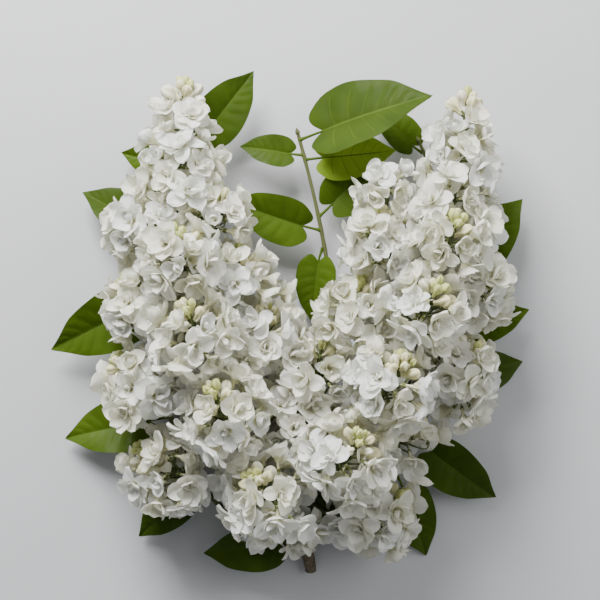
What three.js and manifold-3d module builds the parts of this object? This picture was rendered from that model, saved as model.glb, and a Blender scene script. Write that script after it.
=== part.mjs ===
// A cut sprig of double white lilac, lying on a level surface.
// Millimetres, +Z up. +X is to the right and +Y runs towards the tips of the two flower heads.
// The origin is on the surface, under the middle of the sprig.
// A short woody stem forks into two flower heads. Each head is a green axis with tiers of paired side
// branches, each of them a cluster of double florets with a knot of buds at its tip. Three leafy shoots
// grow from the stem under the heads.
import * as THREE from "three";
import { mergeVertices } from "three/addons/utils/BufferGeometryUtils.js";
import Module from "manifold-3d";

const UP = new THREE.Vector3(0, 0, 1);

const wasm = await Module();
wasm.setup();
const { Manifold, Mesh: SolidMesh } = wasm;

// ---- Driving dimensions ----

const CLEAR = 0.3; // gap between pieces that touch
const MIDDLE = new THREE.Vector3(-6.1, -14, 0.6); // the laid-out sprig's own bottom centre
const GOLDEN_TURN = 2.399963; // the angle between one floret and the next round its branch, in radians

// The woody stem, from its cut end to the fork.
const STEM = {
  from: [6.4, -160, 3.8],
  bend1: [5.2, -148, 8.5],
  bend2: [0.5, -138, 18.5],
  to: [-2.5, -124, 25.5],
  radii: [3.3, 4.3],
  node: 0.45, // place of the swollen node that two shoots leave from
  swelling: 0.16,
  swellingLength: 0.06, // as a share of the stem
  sides: 10,
};
const LIMB_SIDES = 6;
const TWIG_SIDES = 4;
const LIMB_STEPS = 14;

// The two flower heads. Their axes are Bezier curves from the fork to the tip.
const HEADS = [
  {
    name: "left",
    from: [-6, -124, 26.3],
    bend1: [-56, -52, 52],
    bend2: [-77, 28, 53],
    to: [-66, 114, 45],
    outward: -1, // its outer side is towards -X
    firstIsUpright: true, // the first tier's branches point up and down, not to the sides
    outerLengths: [1, 1.15, 1, 1.15], // outer branches by tier, over their usual length
    innerLengths: [1, 0.8], // inner branches by tier, which share the room between the two heads
    seed: 1100,
  },
  {
    name: "right",
    from: [1.4, -121.8, 27.2],
    bend1: [46, -58, 52],
    bend2: [90, 14, 53],
    to: [93.6, 107, 45],
    outward: 1,
    firstIsUpright: false,
    outerLengths: [0.85, 1, 0.6],
    innerLengths: [0, 1, 1, 1, 1.05, 1, 1.4],
    seed: 2300,
  },
];
const AXIS_RADII = [2.1, 1.1];
const TIERS = 8; // tiers of paired branches below the tip
const FIRST_TIER = 0.03; // place of the first tier, as a share of the axis
const TIER_STEP = 0.0975; // share of the axis from one tier to the next
const TIER_CLOSING = 0.0008; // how the steps shorten towards the tip
const TIP_STARTS = 0.735; // the tip cluster's share of the axis begins here
const BRANCH_LENGTH = 54; // side branch at the foot of a head
const BRANCH_PROFILE = 1.7; // how full the head's outline is
const BRANCH_RISE = THREE.MathUtils.degToRad(38); // how far the branches lean towards the tip
const BRANCH_OUTSET = 0.55; // a branch first heads straight out, for this share of its length
const BRANCH_RADII = [1.7, 1.4];
const TIP_RADII = [1.5, 1.2]; // the axis inside the tip cluster
const LOWEST_BRANCH_END = 14; // a branch under the head ends at least this high
const SHORTEST_BRANCH = 5; // with less length than this there is no branch

// Each branch carries its florets as a mound: they stand on a sphere round a place on the branch.
const MOUND = {
  radii: [24, 17], // at the foot and at the tip of a head
  at: 0.8, // its middle, as a share of the branch
  edge: THREE.MathUtils.degToRad(118), // florets reach back this far from the branch's way
  florets: 19,
  first: 0.7, // the first floret's step from the knot of buds, over the steps between florets
  rooted: [0.95, 0.45], // places on the branch that the first and the last floret grow from
};
// The tip of a head carries its florets all along its axis.
const TIP = {
  florets: 34,
  reach: [25, 11], // distance from the axis to the first and the last floret
  rooted: [0.05, 1],
  lean: [76, 22].map(THREE.MathUtils.degToRad), // angle from the axis of the first and the last
};
const FLORET = {
  radius: 13.6,
  rim: -1.4, // the petals' ends lie this far behind the middle
  crown: 2.4,
  throat: 1.6,
  tube: 4.5,
  stalk: 0.7,
  sizes: [1, 0.8], // with no room at the first size it takes the second
  turns: [0, 30, 60].map(THREE.MathUtils.degToRad), // and it tries each of these turns
  unevenReach: 2.4, // its distance from the branch varies by this much
  unevenFacing: 0.3,
};

// The knot of buds that ends a branch: each row's share of its length, and its radius.
const BUD_KNOT = {
  length: 14,
  profile: [
    [0.35, 4.2],
    [0.7, 4.6],
    [1, 0],
  ],
};

// The leafy shoots, and the leaves they carry. A leaf's heading is its direction in plan and its rise is
// its slope, in degrees. Roll turns it about its midrib, and at is its place on the shoot.
const SHOOT_RADII = [1.9, 1.2];
const SHOOTS = [
  {
    name: "middle_shoot",
    onStem: 0.84,
    bend1: [30, -74, 6],
    bend2: [26, 0, 9],
    to: [-1, 96, 20],
    leaves: [
      { at: 0.76, heading: 262, rise: -2, length: 36, roll: 8 },
      { at: 0.8, heading: 163, rise: 6, length: 44, roll: -14 },
      { at: 0.83, heading: 48, rise: -2, length: 42, roll: 8 },
      { at: 0.96, heading: 170, rise: 6, length: 29, roll: 10 },
      { at: 0.95, heading: 4, rise: 6, length: 42, roll: 10 },
      { at: 0.99, heading: 20, rise: 26, length: 66, roll: -30 },
    ],
  },
  {
    name: "left_shoot",
    onStem: 0.45,
    bend1: [-84, -128, 8],
    bend2: [-103, -17, 8],
    to: [-62, 94, 13],
    leaves: [
      { at: 0.3, heading: 222, rise: 3, length: 38, roll: 6 },
      { at: 0.47, heading: 190, rise: 6, length: 50, roll: 12 },
      { at: 0.72, heading: 209, rise: 12, length: 56, roll: -16 },
      { at: 0.83, heading: 152, rise: 8, length: 44, roll: 14 },
      { at: 0.95, heading: 168, rise: 4, length: 30, roll: -10 },
      { at: 0.99, heading: 50, rise: 14, length: 45, roll: 12 },
    ],
  },
  {
    name: "right_shoot",
    onStem: 0.45,
    bend1: [74, -116, 8],
    bend2: [114, 0, 8],
    to: [70, 92, 14],
    leaves: [
      { at: 0.28, heading: 290, rise: -2, length: 42, roll: -8 },
      { at: 0.37, heading: 322, rise: 6, length: 46, roll: 12 },
      { at: 0.5, heading: 18, rise: 0, length: 42, roll: -6 },
      { at: 0.62, heading: 14, rise: 16, length: 38, roll: 10 },
      { at: 0.72, heading: 52, rise: 12, length: 50, roll: -10 },
      { at: 0.98, heading: 132, rise: 1, length: 32, roll: 10 },
    ],
  },
];
// Leaves straight from the woody stem.
const STEM_LEAVES = [
  { at: 0.62, heading: 190, rise: 4, length: 44, roll: -12 },
  { at: 0.68, heading: 46, rise: 3, length: 48, roll: 6 },
];
const LEAF = {
  widthShare: 0.66, // width over length
  thick: 0.9,
  fold: 0.28, // how far the halves rise from the midrib, per millimetre of width
  arch: 0.16, // how far the tip curls down, as a share of the length
  lobe: 0.11, // how far the base lobes reach back past the stalk, as a share of the length
  stalkShare: 0.22, // stalk length over blade length
  stalkRadii: [0.9, 0.72],
  sink: 2.5, // how far the stalk runs on under the blade
  stepsAlong: 6,
  // Its width rises as (lead + s) ^ rise and falls as (1 - s) ^ fall, with s from 0 at the base to 1.
  outline: { fullest: 1.96, lead: 0.12, rise: 0.45, fall: 0.8, least: 0.02 },
  tipStarts: 0.7, // from this share of its length the tip narrows
  tipNarrows: 0.35,
};

const COLOURS = {
  bark: [0x6f6552, 0.9],
  green_stem: [0x6b7a3a, 0.7],
  blossom: [0xf2f1ec, 0.6],
  leaf: [0x54701f, 0.5],
};

// ---- Small helpers ----

/** A repeatable stream of numbers from 0 to 1. */
function seeded(seed) {
  let state = seed >>> 0;
  return () => {
    state = (Math.imul(state, 1664525) + 1013904223) >>> 0;
    return state / 4294967296;
  };
}

const point = (p) => new THREE.Vector3(...p);
const mix = (a, b, t) => a + (b - a) * t;

/** The Bezier curve of a limb. */
const limbCurve = (limb) =>
  new THREE.CubicBezierCurve3(point(limb.from), point(limb.bend1), point(limb.bend2), point(limb.to));

/** Two directions square to a tangent. The first is as near to the guide as it can be. */
function sidesOf(tangent, guide) {
  const first = guide.clone().addScaledVector(tangent, -guide.dot(tangent)).normalize();
  return [first, new THREE.Vector3().crossVectors(tangent, first)];
}

/** A closed geometry as a solid that can be joined and cut. */
function solidOf(geometry) {
  const bare = geometry.clone();
  bare.deleteAttribute("normal");
  bare.deleteAttribute("uv");
  const merged = mergeVertices(bare, 1e-4);
  return new Manifold(
    new SolidMesh({
      numProp: 3,
      vertProperties: new Float32Array(merged.attributes.position.array),
      triVerts: new Uint32Array(merged.index.array),
    }),
  );
}

/** A solid as geometry, drawn with flat faces. */
function geometryOf(solid) {
  const mesh = solid.getMesh();
  const flat = new THREE.BufferGeometry()
    .setAttribute("position", new THREE.BufferAttribute(new Float32Array(mesh.vertProperties), 3))
    .setIndex(new THREE.BufferAttribute(new Uint32Array(mesh.triVerts), 1))
    .toNonIndexed();
  flat.computeVertexNormals();
  return flat;
}

/**
 * A cylinder whose rows are set in place one by one, as a solid. A row has a centre, a way that it looks
 * along and a radius. A pointed one closes to a point at its last row.
 */
function bentSolid(sides, rows, { guide, pointed = false }) {
  const shape = new THREE.CylinderGeometry(1, pointed ? 0 : 1, 1, sides, rows.length - 1);
  const place = shape.getAttribute("position");
  const frames = rows.map(({ way }) => sidesOf(way, guide));
  const spoke = new THREE.Vector2();
  for (let i = 0; i < place.count; i++) {
    const row = Math.round((0.5 - place.getY(i)) * (rows.length - 1));
    const { centre, radius } = rows[row];
    const [first, second] = frames[row];
    spoke.set(place.getX(i), place.getZ(i)).normalize().multiplyScalar(radius);
    const moved = centre.clone().addScaledVector(first, spoke.x).addScaledVector(second, spoke.y);
    place.setXYZ(i, ...moved.toArray());
  }
  return solidOf(shape);
}

/** The rows of a tapering limb along part of a curve. */
function limbRows(curve, { upTo = 1, radii, steps, swell = () => 1 }) {
  return Array.from({ length: steps + 1 }, (_, k) => {
    const t = (upTo * k) / steps;
    return { centre: curve.getPoint(t), way: curve.getTangent(t), radius: mix(...radii, t) * swell(t) };
  });
}

// ---- Leaves ----

/** Full width of a leaf at a share of its length, as a share of its greatest width. */
function leafWidth(s) {
  const { fullest, lead, rise, fall, least } = LEAF.outline;
  const body = fullest * Math.pow(lead + s, rise) * Math.pow(1 - s, fall);
  return Math.max(least, body * (1 - LEAF.tipNarrows * THREE.MathUtils.smoothstep(s, LEAF.tipStarts, 1)));
}

/** Unit vector of a leaf's heading and rise. */
function leafDirection({ heading, rise }) {
  const [h, r] = [THREE.MathUtils.degToRad(heading), THREE.MathUtils.degToRad(rise)];
  return new THREE.Vector3(Math.cos(h) * Math.cos(r), Math.sin(h) * Math.cos(r), Math.sin(r));
}

/** One heart-shaped leaf with its stalk, from its place on a limb. */
function leafSolid(leaf, curve, limbRadius) {
  const direction = leafDirection(leaf);
  const node = curve.getPoint(leaf.at);
  const [side] = sidesOf(curve.getTangent(leaf.at), direction);
  const slant = Math.sqrt(1 - direction.dot(side) ** 2);
  const foot = node.clone().addScaledVector(side, limbRadius + CLEAR + slant * LEAF.stalkRadii[0]);
  const base = foot.clone().addScaledVector(direction, leaf.length * LEAF.stalkShare);

  const blade = new THREE.BoxGeometry(1, 1, 1, LEAF.stepsAlong, 2, 1);
  const place = blade.getAttribute("position");
  const width = leaf.length * LEAF.widthShare;
  for (let i = 0; i < place.count; i++) {
    const s = place.getX(i) + 0.5;
    const across = 2 * place.getY(i);
    const back = LEAF.lobe * Math.abs(across) * Math.pow(1 - s, 3);
    const y = 0.5 * width * leafWidth(s) * across;
    const z = LEAF.fold * Math.abs(y) - LEAF.arch * leaf.length * s * s + LEAF.thick * place.getZ(i);
    place.setXYZ(i, leaf.length * (s - back), y, z);
  }
  const [level] = sidesOf(direction, new THREE.Vector3().crossVectors(UP, direction));
  const above = new THREE.Vector3().crossVectors(direction, level);
  const turn = new THREE.Matrix4()
    .makeBasis(direction, level, above)
    .multiply(new THREE.Matrix4().makeRotationX(THREE.MathUtils.degToRad(leaf.roll)))
    .setPosition(base);
  blade.applyMatrix4(turn);

  const under = new THREE.Vector3(LEAF.sink, 0, -0.2 * LEAF.thick).applyMatrix4(turn);
  const stalk = new THREE.QuadraticBezierCurve3(foot, base.clone().lerp(foot, 0.5), under);
  const stalkRows = limbRows(stalk, { radii: LEAF.stalkRadii, steps: 2 });
  const stalkBody = bentSolid(TWIG_SIDES, stalkRows, { guide: UP });
  return Manifold.union([solidOf(blade), stalkBody]);
}

// ---- Florets and clusters ----

/** A direction that is never along the given way. */
const acrossGuide = (way) => (Math.abs(way.z) < 0.9 ? UP : new THREE.Vector3(0, 1, 0));

/**
 * One double floret: a stalk and tube that open into four petals round a raised crown.
 * Returns the whole floret, and its head alone.
 */
function floretSolids({ root, centre, facing }, size, turn) {
  const guide = acrossGuide(facing).clone().applyAxisAngle(facing, turn);
  const at = (height) => centre.clone().addScaledVector(facing, height);
  const throat = { centre: at(-FLORET.tube), way: facing, radius: FLORET.throat };
  const stalkWay = throat.centre.clone().sub(root).normalize();
  const foot = { centre: root, way: stalkWay, radius: FLORET.stalk };
  const head = [
    throat,
    { centre: at(FLORET.rim), way: facing, radius: size * FLORET.radius },
    { centre: at(FLORET.crown), way: facing, radius: 0 },
  ];
  return {
    whole: bentSolid(TWIG_SIDES, [foot, ...head], { guide, pointed: true }),
    head: bentSolid(TWIG_SIDES, head, { guide, pointed: true }),
  };
}

/** A cluster's branch, which ends in a knot of closed buds. */
function branchSolid({ curve, guide, radii, steps }) {
  const rows = limbRows(curve, { radii, steps });
  const way = curve.getTangent(1);
  for (const [share, radius] of BUD_KNOT.profile) {
    rows.push({ centre: curve.getPoint(1).addScaledVector(way, share * BUD_KNOT.length), way, radius });
  }
  return bentSolid(TWIG_SIDES, rows, { guide, pointed: true });
}

/** A direction at an angle from a way, turned about it from a guide. */
function splayed(way, guide, angle, turn) {
  const [first, second] = sidesOf(way, guide);
  return first
    .multiplyScalar(Math.cos(turn))
    .addScaledVector(second, Math.sin(turn))
    .multiplyScalar(Math.sin(angle))
    .addScaledVector(way, Math.cos(angle));
}

/** A floret's place, at a distance from its root, with the distance and the facing varied a little. */
function floretPlace({ root, from, way, distance }, random) {
  const reach = distance + FLORET.unevenReach * (random() - 0.5);
  const nudge = new THREE.Vector3(random() - 0.5, random() - 0.5, random() - 0.5);
  return {
    root,
    centre: from.clone().addScaledVector(way, reach),
    facing: way.clone().addScaledVector(nudge, FLORET.unevenFacing).normalize(),
  };
}

/** Floret places on a mound: a spiral over a sphere, from the branch's tip backwards. */
function moundPlaces({ curve, guide, moundRadius, seed }) {
  const random = seeded(seed);
  const phase = 2 * Math.PI * random();
  const middle = curve.getPoint(MOUND.at);
  return Array.from({ length: MOUND.florets }, (_, i) => {
    const share = (i + MOUND.first) / MOUND.florets;
    const angle = Math.acos(1 - (1 - Math.cos(MOUND.edge)) * share);
    const way = splayed(curve.getTangent(1), guide, angle, phase + i * GOLDEN_TURN);
    const root = curve.getPoint(mix(...MOUND.rooted, share));
    return floretPlace({ root, from: middle, way, distance: moundRadius }, random);
  });
}

/** Floret places round the tip of a head, from its foot to its end. */
function tipPlaces({ curve, guide, seed }) {
  const random = seeded(seed);
  const phase = 2 * Math.PI * random();
  return Array.from({ length: TIP.florets }, (_, i) => {
    const share = (i + 0.5) / TIP.florets;
    const root = curve.getPoint(mix(...TIP.rooted, share));
    const angle = mix(...TIP.lean, share * share);
    const way = splayed(curve.getTangent(share), guide, angle, phase + i * GOLDEN_TURN);
    return floretPlace({ root, from: root, way, distance: mix(...TIP.reach, share) }, random);
  });
}

/** Everything about a flower head that is known before its florets are tested for room. */
function headPlan(head) {
  const axis = limbCurve(head);
  const clusters = [];
  for (let k = 0; k < TIERS; k++) {
    const t = FIRST_TIER + TIER_STEP * k - TIER_CLOSING * k * k;
    const node = axis.getPoint(t);
    const tangent = axis.getTangent(t);
    const [upward, sideways] = sidesOf(tangent, UP);
    const upright = (k % 2 === 0) === head.firstIsUpright;
    const fullLength = BRANCH_LENGTH * (1 - Math.pow(t, BRANCH_PROFILE));
    const sides = upright
      ? [
          ["upper", upward],
          ["lower", upward.clone().negate()],
        ]
      : [
          ["outer", sideways.clone().multiplyScalar(head.outward)],
          ["inner", sideways.clone().multiplyScalar(-head.outward)],
        ];
    for (const [side, out] of sides) {
      let length = fullLength;
      if (side === "lower") length = Math.min(length, (node.z - LOWEST_BRANCH_END) / Math.cos(BRANCH_RISE));
      if (side === "outer") length *= head.outerLengths[k] ?? 1;
      if (side === "inner") length *= head.innerLengths[k] ?? 1;
      if (length < SHORTEST_BRANCH) continue;
      const foot = node.clone().addScaledVector(out, mix(...AXIS_RADII, t) + CLEAR);
      const bend = foot.clone().addScaledVector(out, BRANCH_OUTSET * length);
      const end = foot
        .clone()
        .addScaledVector(out, length * Math.cos(BRANCH_RISE))
        .addScaledVector(tangent, length * Math.sin(BRANCH_RISE));
      clusters.push({
        name: `${head.name}_cluster_${k + 1}_${side}`,
        side,
        curve: new THREE.QuadraticBezierCurve3(foot, bend, end),
        guide: tangent,
        radii: BRANCH_RADII,
        steps: 3,
        moundRadius: mix(...MOUND.radii, t),
        places: moundPlaces,
        seed: head.seed + clusters.length,
      });
    }
  }
  const tipFoot = axis.getPoint(TIP_STARTS);
  const tipCurve = new THREE.QuadraticBezierCurve3(
    tipFoot.clone().addScaledVector(axis.getTangent(TIP_STARTS), CLEAR),
    axis.getPoint((TIP_STARTS + 1) / 2),
    axis.getPoint(1),
  );
  clusters.push({
    name: `${head.name}_cluster_tip`,
    side: "tip",
    curve: tipCurve,
    guide: UP,
    radii: TIP_RADII,
    steps: 5,
    places: tipPlaces,
    seed: head.seed + clusters.length,
  });
  return { head, axis, clusters };
}

// ---- Build ----

const group = new THREE.Group();
group.position.copy(MIDDLE).negate();
const solids = []; // {name, solid} of every piece so far

/** Adds one named piece. */
function addPiece(name, solid, slot) {
  const [colour, roughness] = COLOURS[slot];
  const material = new THREE.MeshStandardMaterial({ color: colour, roughness, metalness: 0 });
  const mesh = new THREE.Mesh(geometryOf(solid), material);
  mesh.name = name;
  group.add(mesh);
  solids.push({ name, solid });
}

const stemCurve = limbCurve(STEM);
const nodeSwell = (t) => 1 + STEM.swelling * Math.exp(-Math.pow((t - STEM.node) / STEM.swellingLength, 2));
const stemRadius = (t) => mix(...STEM.radii, t) * nodeSwell(t);
const stemRows = limbRows(stemCurve, { radii: STEM.radii, steps: LIMB_STEPS, swell: nodeSwell });
addPiece("woody_stem", bentSolid(STEM.sides, stemRows, { guide: UP }), "bark");

const plans = HEADS.map(headPlan);
for (const { head, axis } of plans) {
  const rows = limbRows(axis, { upTo: TIP_STARTS, radii: AXIS_RADII, steps: LIMB_STEPS });
  addPiece(`${head.name}_head_axis`, bentSolid(LIMB_SIDES, rows, { guide: UP }), "green_stem");
}

/** The curve of a shoot. Its first end stands just clear of the stem's side. */
function shootCurve(shoot) {
  const node = stemCurve.getPoint(shoot.onStem);
  const way = point(shoot.bend1).sub(node).normalize();
  const [side] = sidesOf(stemCurve.getTangent(shoot.onStem), way);
  const slant = Math.sqrt(1 - way.dot(side) ** 2);
  const distance = stemRadius(shoot.onStem) + CLEAR + slant * SHOOT_RADII[0];
  return limbCurve({ ...shoot, from: node.addScaledVector(side, distance).toArray() });
}

for (const shoot of SHOOTS) {
  const curve = shootCurve(shoot);
  const rows = limbRows(curve, { radii: SHOOT_RADII, steps: LIMB_STEPS });
  addPiece(shoot.name, bentSolid(LIMB_SIDES, rows, { guide: UP }), "green_stem");
  shoot.leaves.forEach((leaf, i) => {
    addPiece(`${shoot.name}_leaf_${i + 1}`, leafSolid(leaf, curve, mix(...SHOOT_RADII, leaf.at)), "leaf");
  });
}
STEM_LEAVES.forEach((leaf, i) => {
  addPiece(`stem_leaf_${i + 1}`, leafSolid(leaf, stemCurve, stemRadius(leaf.at)), "leaf");
});

/** True if a solid comes within the clearance of another. */
const touches = (a, b) => a.minGap(b, CLEAR) < CLEAR;

// The branches of every cluster come first, so that each floret is tested against all of them.
const clusters = plans.flatMap((plan) => plan.clusters);
const SIDE_ORDER = ["tip", "upper", "outer", "inner", "lower"]; // who takes room first
clusters.sort((a, b) => SIDE_ORDER.indexOf(a.side) - SIDE_ORDER.indexOf(b.side));
for (const cluster of clusters) cluster.branch = branchSolid(cluster);
const limbs = [...solids];
const taken = []; // {cluster, centre, whole, head} of every floret that has its place
const FLORET_SPAN = 2 * FLORET.radius + FLORET.tube; // florets further apart than this can't touch

/** True if a floret has room: above the ground, and clear of every limb, leaf, branch and other floret. */
function hasRoom({ whole, head, centre, cluster }) {
  if (whole.boundingBox().min[2] < MIDDLE.z) return false;
  if (limbs.some((limb) => touches(whole, limb.solid))) return false;
  if (clusters.some((other) => touches(other === cluster ? head : whole, other.branch))) return false;
  return !taken.some((other) => {
    if (other.centre.distanceTo(centre) > FLORET_SPAN) return false;
    if (other.cluster !== cluster) return touches(whole, other.whole);
    return touches(head, other.whole) || touches(whole, other.head);
  });
}

/** A floret in the largest size and the first turn that has room, if there is one. */
function roomiest(place, cluster) {
  for (const size of FLORET.sizes) {
    for (const turn of FLORET.turns) {
      const floret = { ...floretSolids(place, size, turn), centre: place.centre, cluster };
      if (hasRoom(floret)) return floret;
    }
  }
  return null;
}

for (const cluster of clusters) {
  cluster.parts = [cluster.branch];
  for (const place of cluster.places(cluster)) {
    const floret = roomiest(place, cluster);
    if (!floret) continue;
    taken.push(floret);
    cluster.parts.push(floret.whole);
  }
}
for (const cluster of clusters) addPiece(cluster.name, Manifold.union(cluster.parts), "blossom");

export default group;
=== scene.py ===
"""A cut sprig of double white lilac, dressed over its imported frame.

The woody stem, the two flower heads and the leafy shoots follow the frame's own rule, in millimetres, and are
carried on to bark, finer twigs, veined leaves, double florets and buds.
"""

import logging
import math
from collections.abc import Iterator, Sequence
from dataclasses import dataclass, field, replace
from enum import Enum, IntEnum

import bpy
import numpy as np
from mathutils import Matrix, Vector, noise
from mathutils.bvhtree import BVHTree
from mathutils.kdtree import KDTree


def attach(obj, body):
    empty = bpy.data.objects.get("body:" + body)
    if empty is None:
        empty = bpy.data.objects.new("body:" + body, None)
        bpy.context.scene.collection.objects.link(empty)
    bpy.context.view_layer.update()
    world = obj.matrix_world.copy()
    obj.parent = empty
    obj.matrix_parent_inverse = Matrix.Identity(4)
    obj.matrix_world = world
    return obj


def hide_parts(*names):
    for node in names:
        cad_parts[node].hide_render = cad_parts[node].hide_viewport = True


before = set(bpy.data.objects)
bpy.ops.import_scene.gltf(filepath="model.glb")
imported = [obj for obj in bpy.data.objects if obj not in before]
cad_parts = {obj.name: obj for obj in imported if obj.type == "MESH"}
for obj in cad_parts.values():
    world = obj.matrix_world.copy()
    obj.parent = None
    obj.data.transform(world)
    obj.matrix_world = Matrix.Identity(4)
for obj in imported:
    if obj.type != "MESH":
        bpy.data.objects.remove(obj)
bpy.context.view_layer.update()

log = logging.getLogger("lilac")

Array = np.ndarray
Triple = tuple[float, float, float]
Materials = Sequence[bpy.types.Material]
Groups = dict[str, bpy.types.NodeTree]

UP = np.array([0.0, 0.0, 1.0])
ALONG_X = np.array([1.0, 0.0, 0.0])
ALONG_Y = np.array([0.0, 1.0, 0.0])
MIDDLE = np.array([-6.1, -14.0, 0.6])  # of the sprig as laid out, with the ground's height, in millimetres
CLEAR = 0.3  # gap between a limb and what grows on it
GOLDEN_TURN = 2.399963
FULL_TURN = 2 * math.pi
ANY_TURN = 3  # radians each way, nearly all the way round
RIPPLE_STARTS = 6.3  # radians, the range that a ripple may start in
NEARLY_UPRIGHT = 0.9  # share of a unit way that is upward
MILLIMETRE = 0.001
BODY = "root"
TRIANGLE_LIMIT = 180_000


# ---- Small helpers ----


def mix(a: float | Array, b: float | Array, t: float | Array) -> float | Array:
    """The value a share t of the way from a to b."""
    return a + (b - a) * t


def smooth(low: float, high: float, x: float | Array) -> float | Array:
    """A smooth step from 0 at low to 1 at high."""
    t = np.clip((x - low) / (high - low), 0, 1)
    return t * t * (3 - 2 * t)


def unit(a: Array) -> Array:
    """A vector, or rows of vectors, at length one."""
    return a / np.linalg.norm(a, axis=-1, keepdims=True)


def sides_of(tangent: Array, guide: Array) -> tuple[Array, Array]:
    """Two directions square to a tangent.

    Args:
        tangent: unit direction of a limb.
        guide: the direction that the first one is as near to as it can be.

    Returns:
        The first direction, and the one square to both.
    """
    first = unit(guide - tangent * float(guide @ tangent))
    return first, np.cross(tangent, first)


def level_guide(way: Array) -> Array:
    """A direction to measure turns about a way from: upward, or along Y for a way that is nearly upright."""
    return UP if abs(way @ UP) < NEARLY_UPRIGHT else ALONG_Y


def splayed(way: Array, guide: Array, angle: float, turn: float) -> Array:
    """A direction at an angle from a way.

    Args:
        way: unit direction that it leans from.
        guide: the direction that it leans to at no turn.
        angle: how far it leans, in radians.
        turn: how far it is turned about the way, in radians.

    Returns:
        The unit direction.
    """
    first, second = sides_of(way, guide)
    across = first * math.cos(turn) + second * math.sin(turn)
    return across * math.sin(angle) + way * math.cos(angle)


def turned(axis: Array, guide: Array, angle: float) -> Array:
    """A guide turned about an axis by an angle."""
    along = axis * float(axis @ guide)
    return along + (guide - along) * math.cos(angle) + np.cross(axis, guide) * math.sin(angle)


def hump(t: Array, at: float, width: float) -> Array:
    """A smooth hump of height one at a place along a limb."""
    return np.exp(-(((t - at) / width) ** 2))


def around(sides: int) -> Array:
    """The angles of the points round a limb."""
    return np.linspace(0, FULL_TURN, sides, endpoint=False)


def straight(way: Array, rows: int) -> Array:
    """The same way for each row of a straight limb."""
    return np.repeat(way[None], rows, 0)


def linear(colour: Triple) -> tuple[float, float, float, float]:
    """A display colour from 0 to 255 as a linear one with alpha."""
    parts = [c / 255 for c in colour]
    return (*[c / 12.92 if c < 0.04045 else ((c + 0.055) / 1.055) ** 2.4 for c in parts], 1.0)


class Stream:
    """A repeatable stream of numbers from 0 to 1."""

    def __init__(self, seed: int) -> None:
        """Starts the stream at a seed."""
        self.state = seed & 0xFFFFFFFF

    def __call__(self) -> float:
        """The next number."""
        self.state = (self.state * 1664525 + 1013904223) & 0xFFFFFFFF
        return self.state / 4294967296

    def spread(self, amount: float) -> float:
        """A number from minus to plus an amount."""
        return amount * (2 * self() - 1)


@dataclass(frozen=True)
class Bezier:
    """A Bezier curve through its control points, of degree two or three."""

    controls: tuple[tuple[float, ...], ...]

    @staticmethod
    def of(*points: Sequence[float]) -> "Bezier":
        """The curve with these control points."""
        return Bezier(tuple(tuple(float(x) for x in p) for p in points))

    def point(self, t: float | Array) -> Array:
        """A place on the curve.

        Args:
            t: share of the way along it, or an array of shares.

        Returns:
            The point, or rows of points.
        """
        rows = [np.asarray(c) for c in self.controls]
        share = np.asarray(t, float)[..., None]
        while len(rows) > 1:
            rows = [a + (b - a) * share for a, b in zip(rows, rows[1:])]
        return rows[0]

    def tangent(self, t: float | Array) -> Array:
        """The curve's direction at a place.

        Args:
            t: share of the way along it, or an array of shares.

        Returns:
            The unit tangent, or rows of tangents.
        """
        step = 1e-4
        before, after = np.clip(np.asarray(t) - step, 0, 1), np.clip(np.asarray(t) + step, 0, 1)
        return unit(self.point(after) - self.point(before))


# ---- Meshes ----


@dataclass
class Patch:
    """Vertices in laid-out millimetres with quads, a place on the surface for each vertex, and slots."""

    points: Array
    quads: Array
    uv: Array
    slots: Array

    def placed(self, basis: Array, scale: float, origin: Array) -> "Patch":
        """This patch turned to a basis of three rows, scaled and moved to an origin."""
        return replace(self, points=self.points @ basis * scale + origin)

    def dealt(self, slots: Array) -> "Patch":
        """This patch with other slots, in rows or in a line."""
        return replace(self, slots=slots.ravel())

    def raised(self, height: float) -> "Patch":
        """This patch moved up."""
        return replace(self, points=self.points + UP * height)

    def lowest(self) -> float:
        """The height of its lowest point."""
        return float(self.points[:, 2].min())


def joined(patches: Sequence[Patch]) -> Patch:
    """Joins patches.

    Args:
        patches: the patches, at least one.

    Returns:
        All of them as one.
    """
    starts = np.cumsum([0] + [len(p.points) for p in patches])
    return Patch(
        np.concatenate([p.points for p in patches]),
        np.concatenate([p.quads + s for p, s in zip(patches, starts)]),
        np.concatenate([p.uv for p in patches]),
        np.concatenate([p.slots for p in patches]),
    )


def grid(points: Array, slot: int = 0, closed: bool = False, uv: Array | None = None) -> Patch:
    """A grid of points as quads.

    Args:
        points: rows by columns of points.
        slot: material slot of its faces.
        closed: whether the last column joins the first.
        uv: rows by columns of places on the surface, or none for an even spread.

    Returns:
        The patch.
    """
    rows, columns = points.shape[:2]
    index = np.arange(rows * columns).reshape(rows, columns)
    right = np.roll(index, -1, axis=1) if closed else index[:, 1:]
    left = index if closed else index[:, :-1]
    quads = np.stack([left[:-1], right[:-1], right[1:], left[1:]], axis=-1).reshape(-1, 4)
    if uv is None:
        across, along = np.meshgrid(np.linspace(0, 1, columns), np.linspace(0, 1, rows))
        uv = np.stack([across, along], axis=-1)
    return Patch(points.reshape(-1, 3), quads, uv.reshape(-1, 2), np.full(len(quads), slot))


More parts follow.
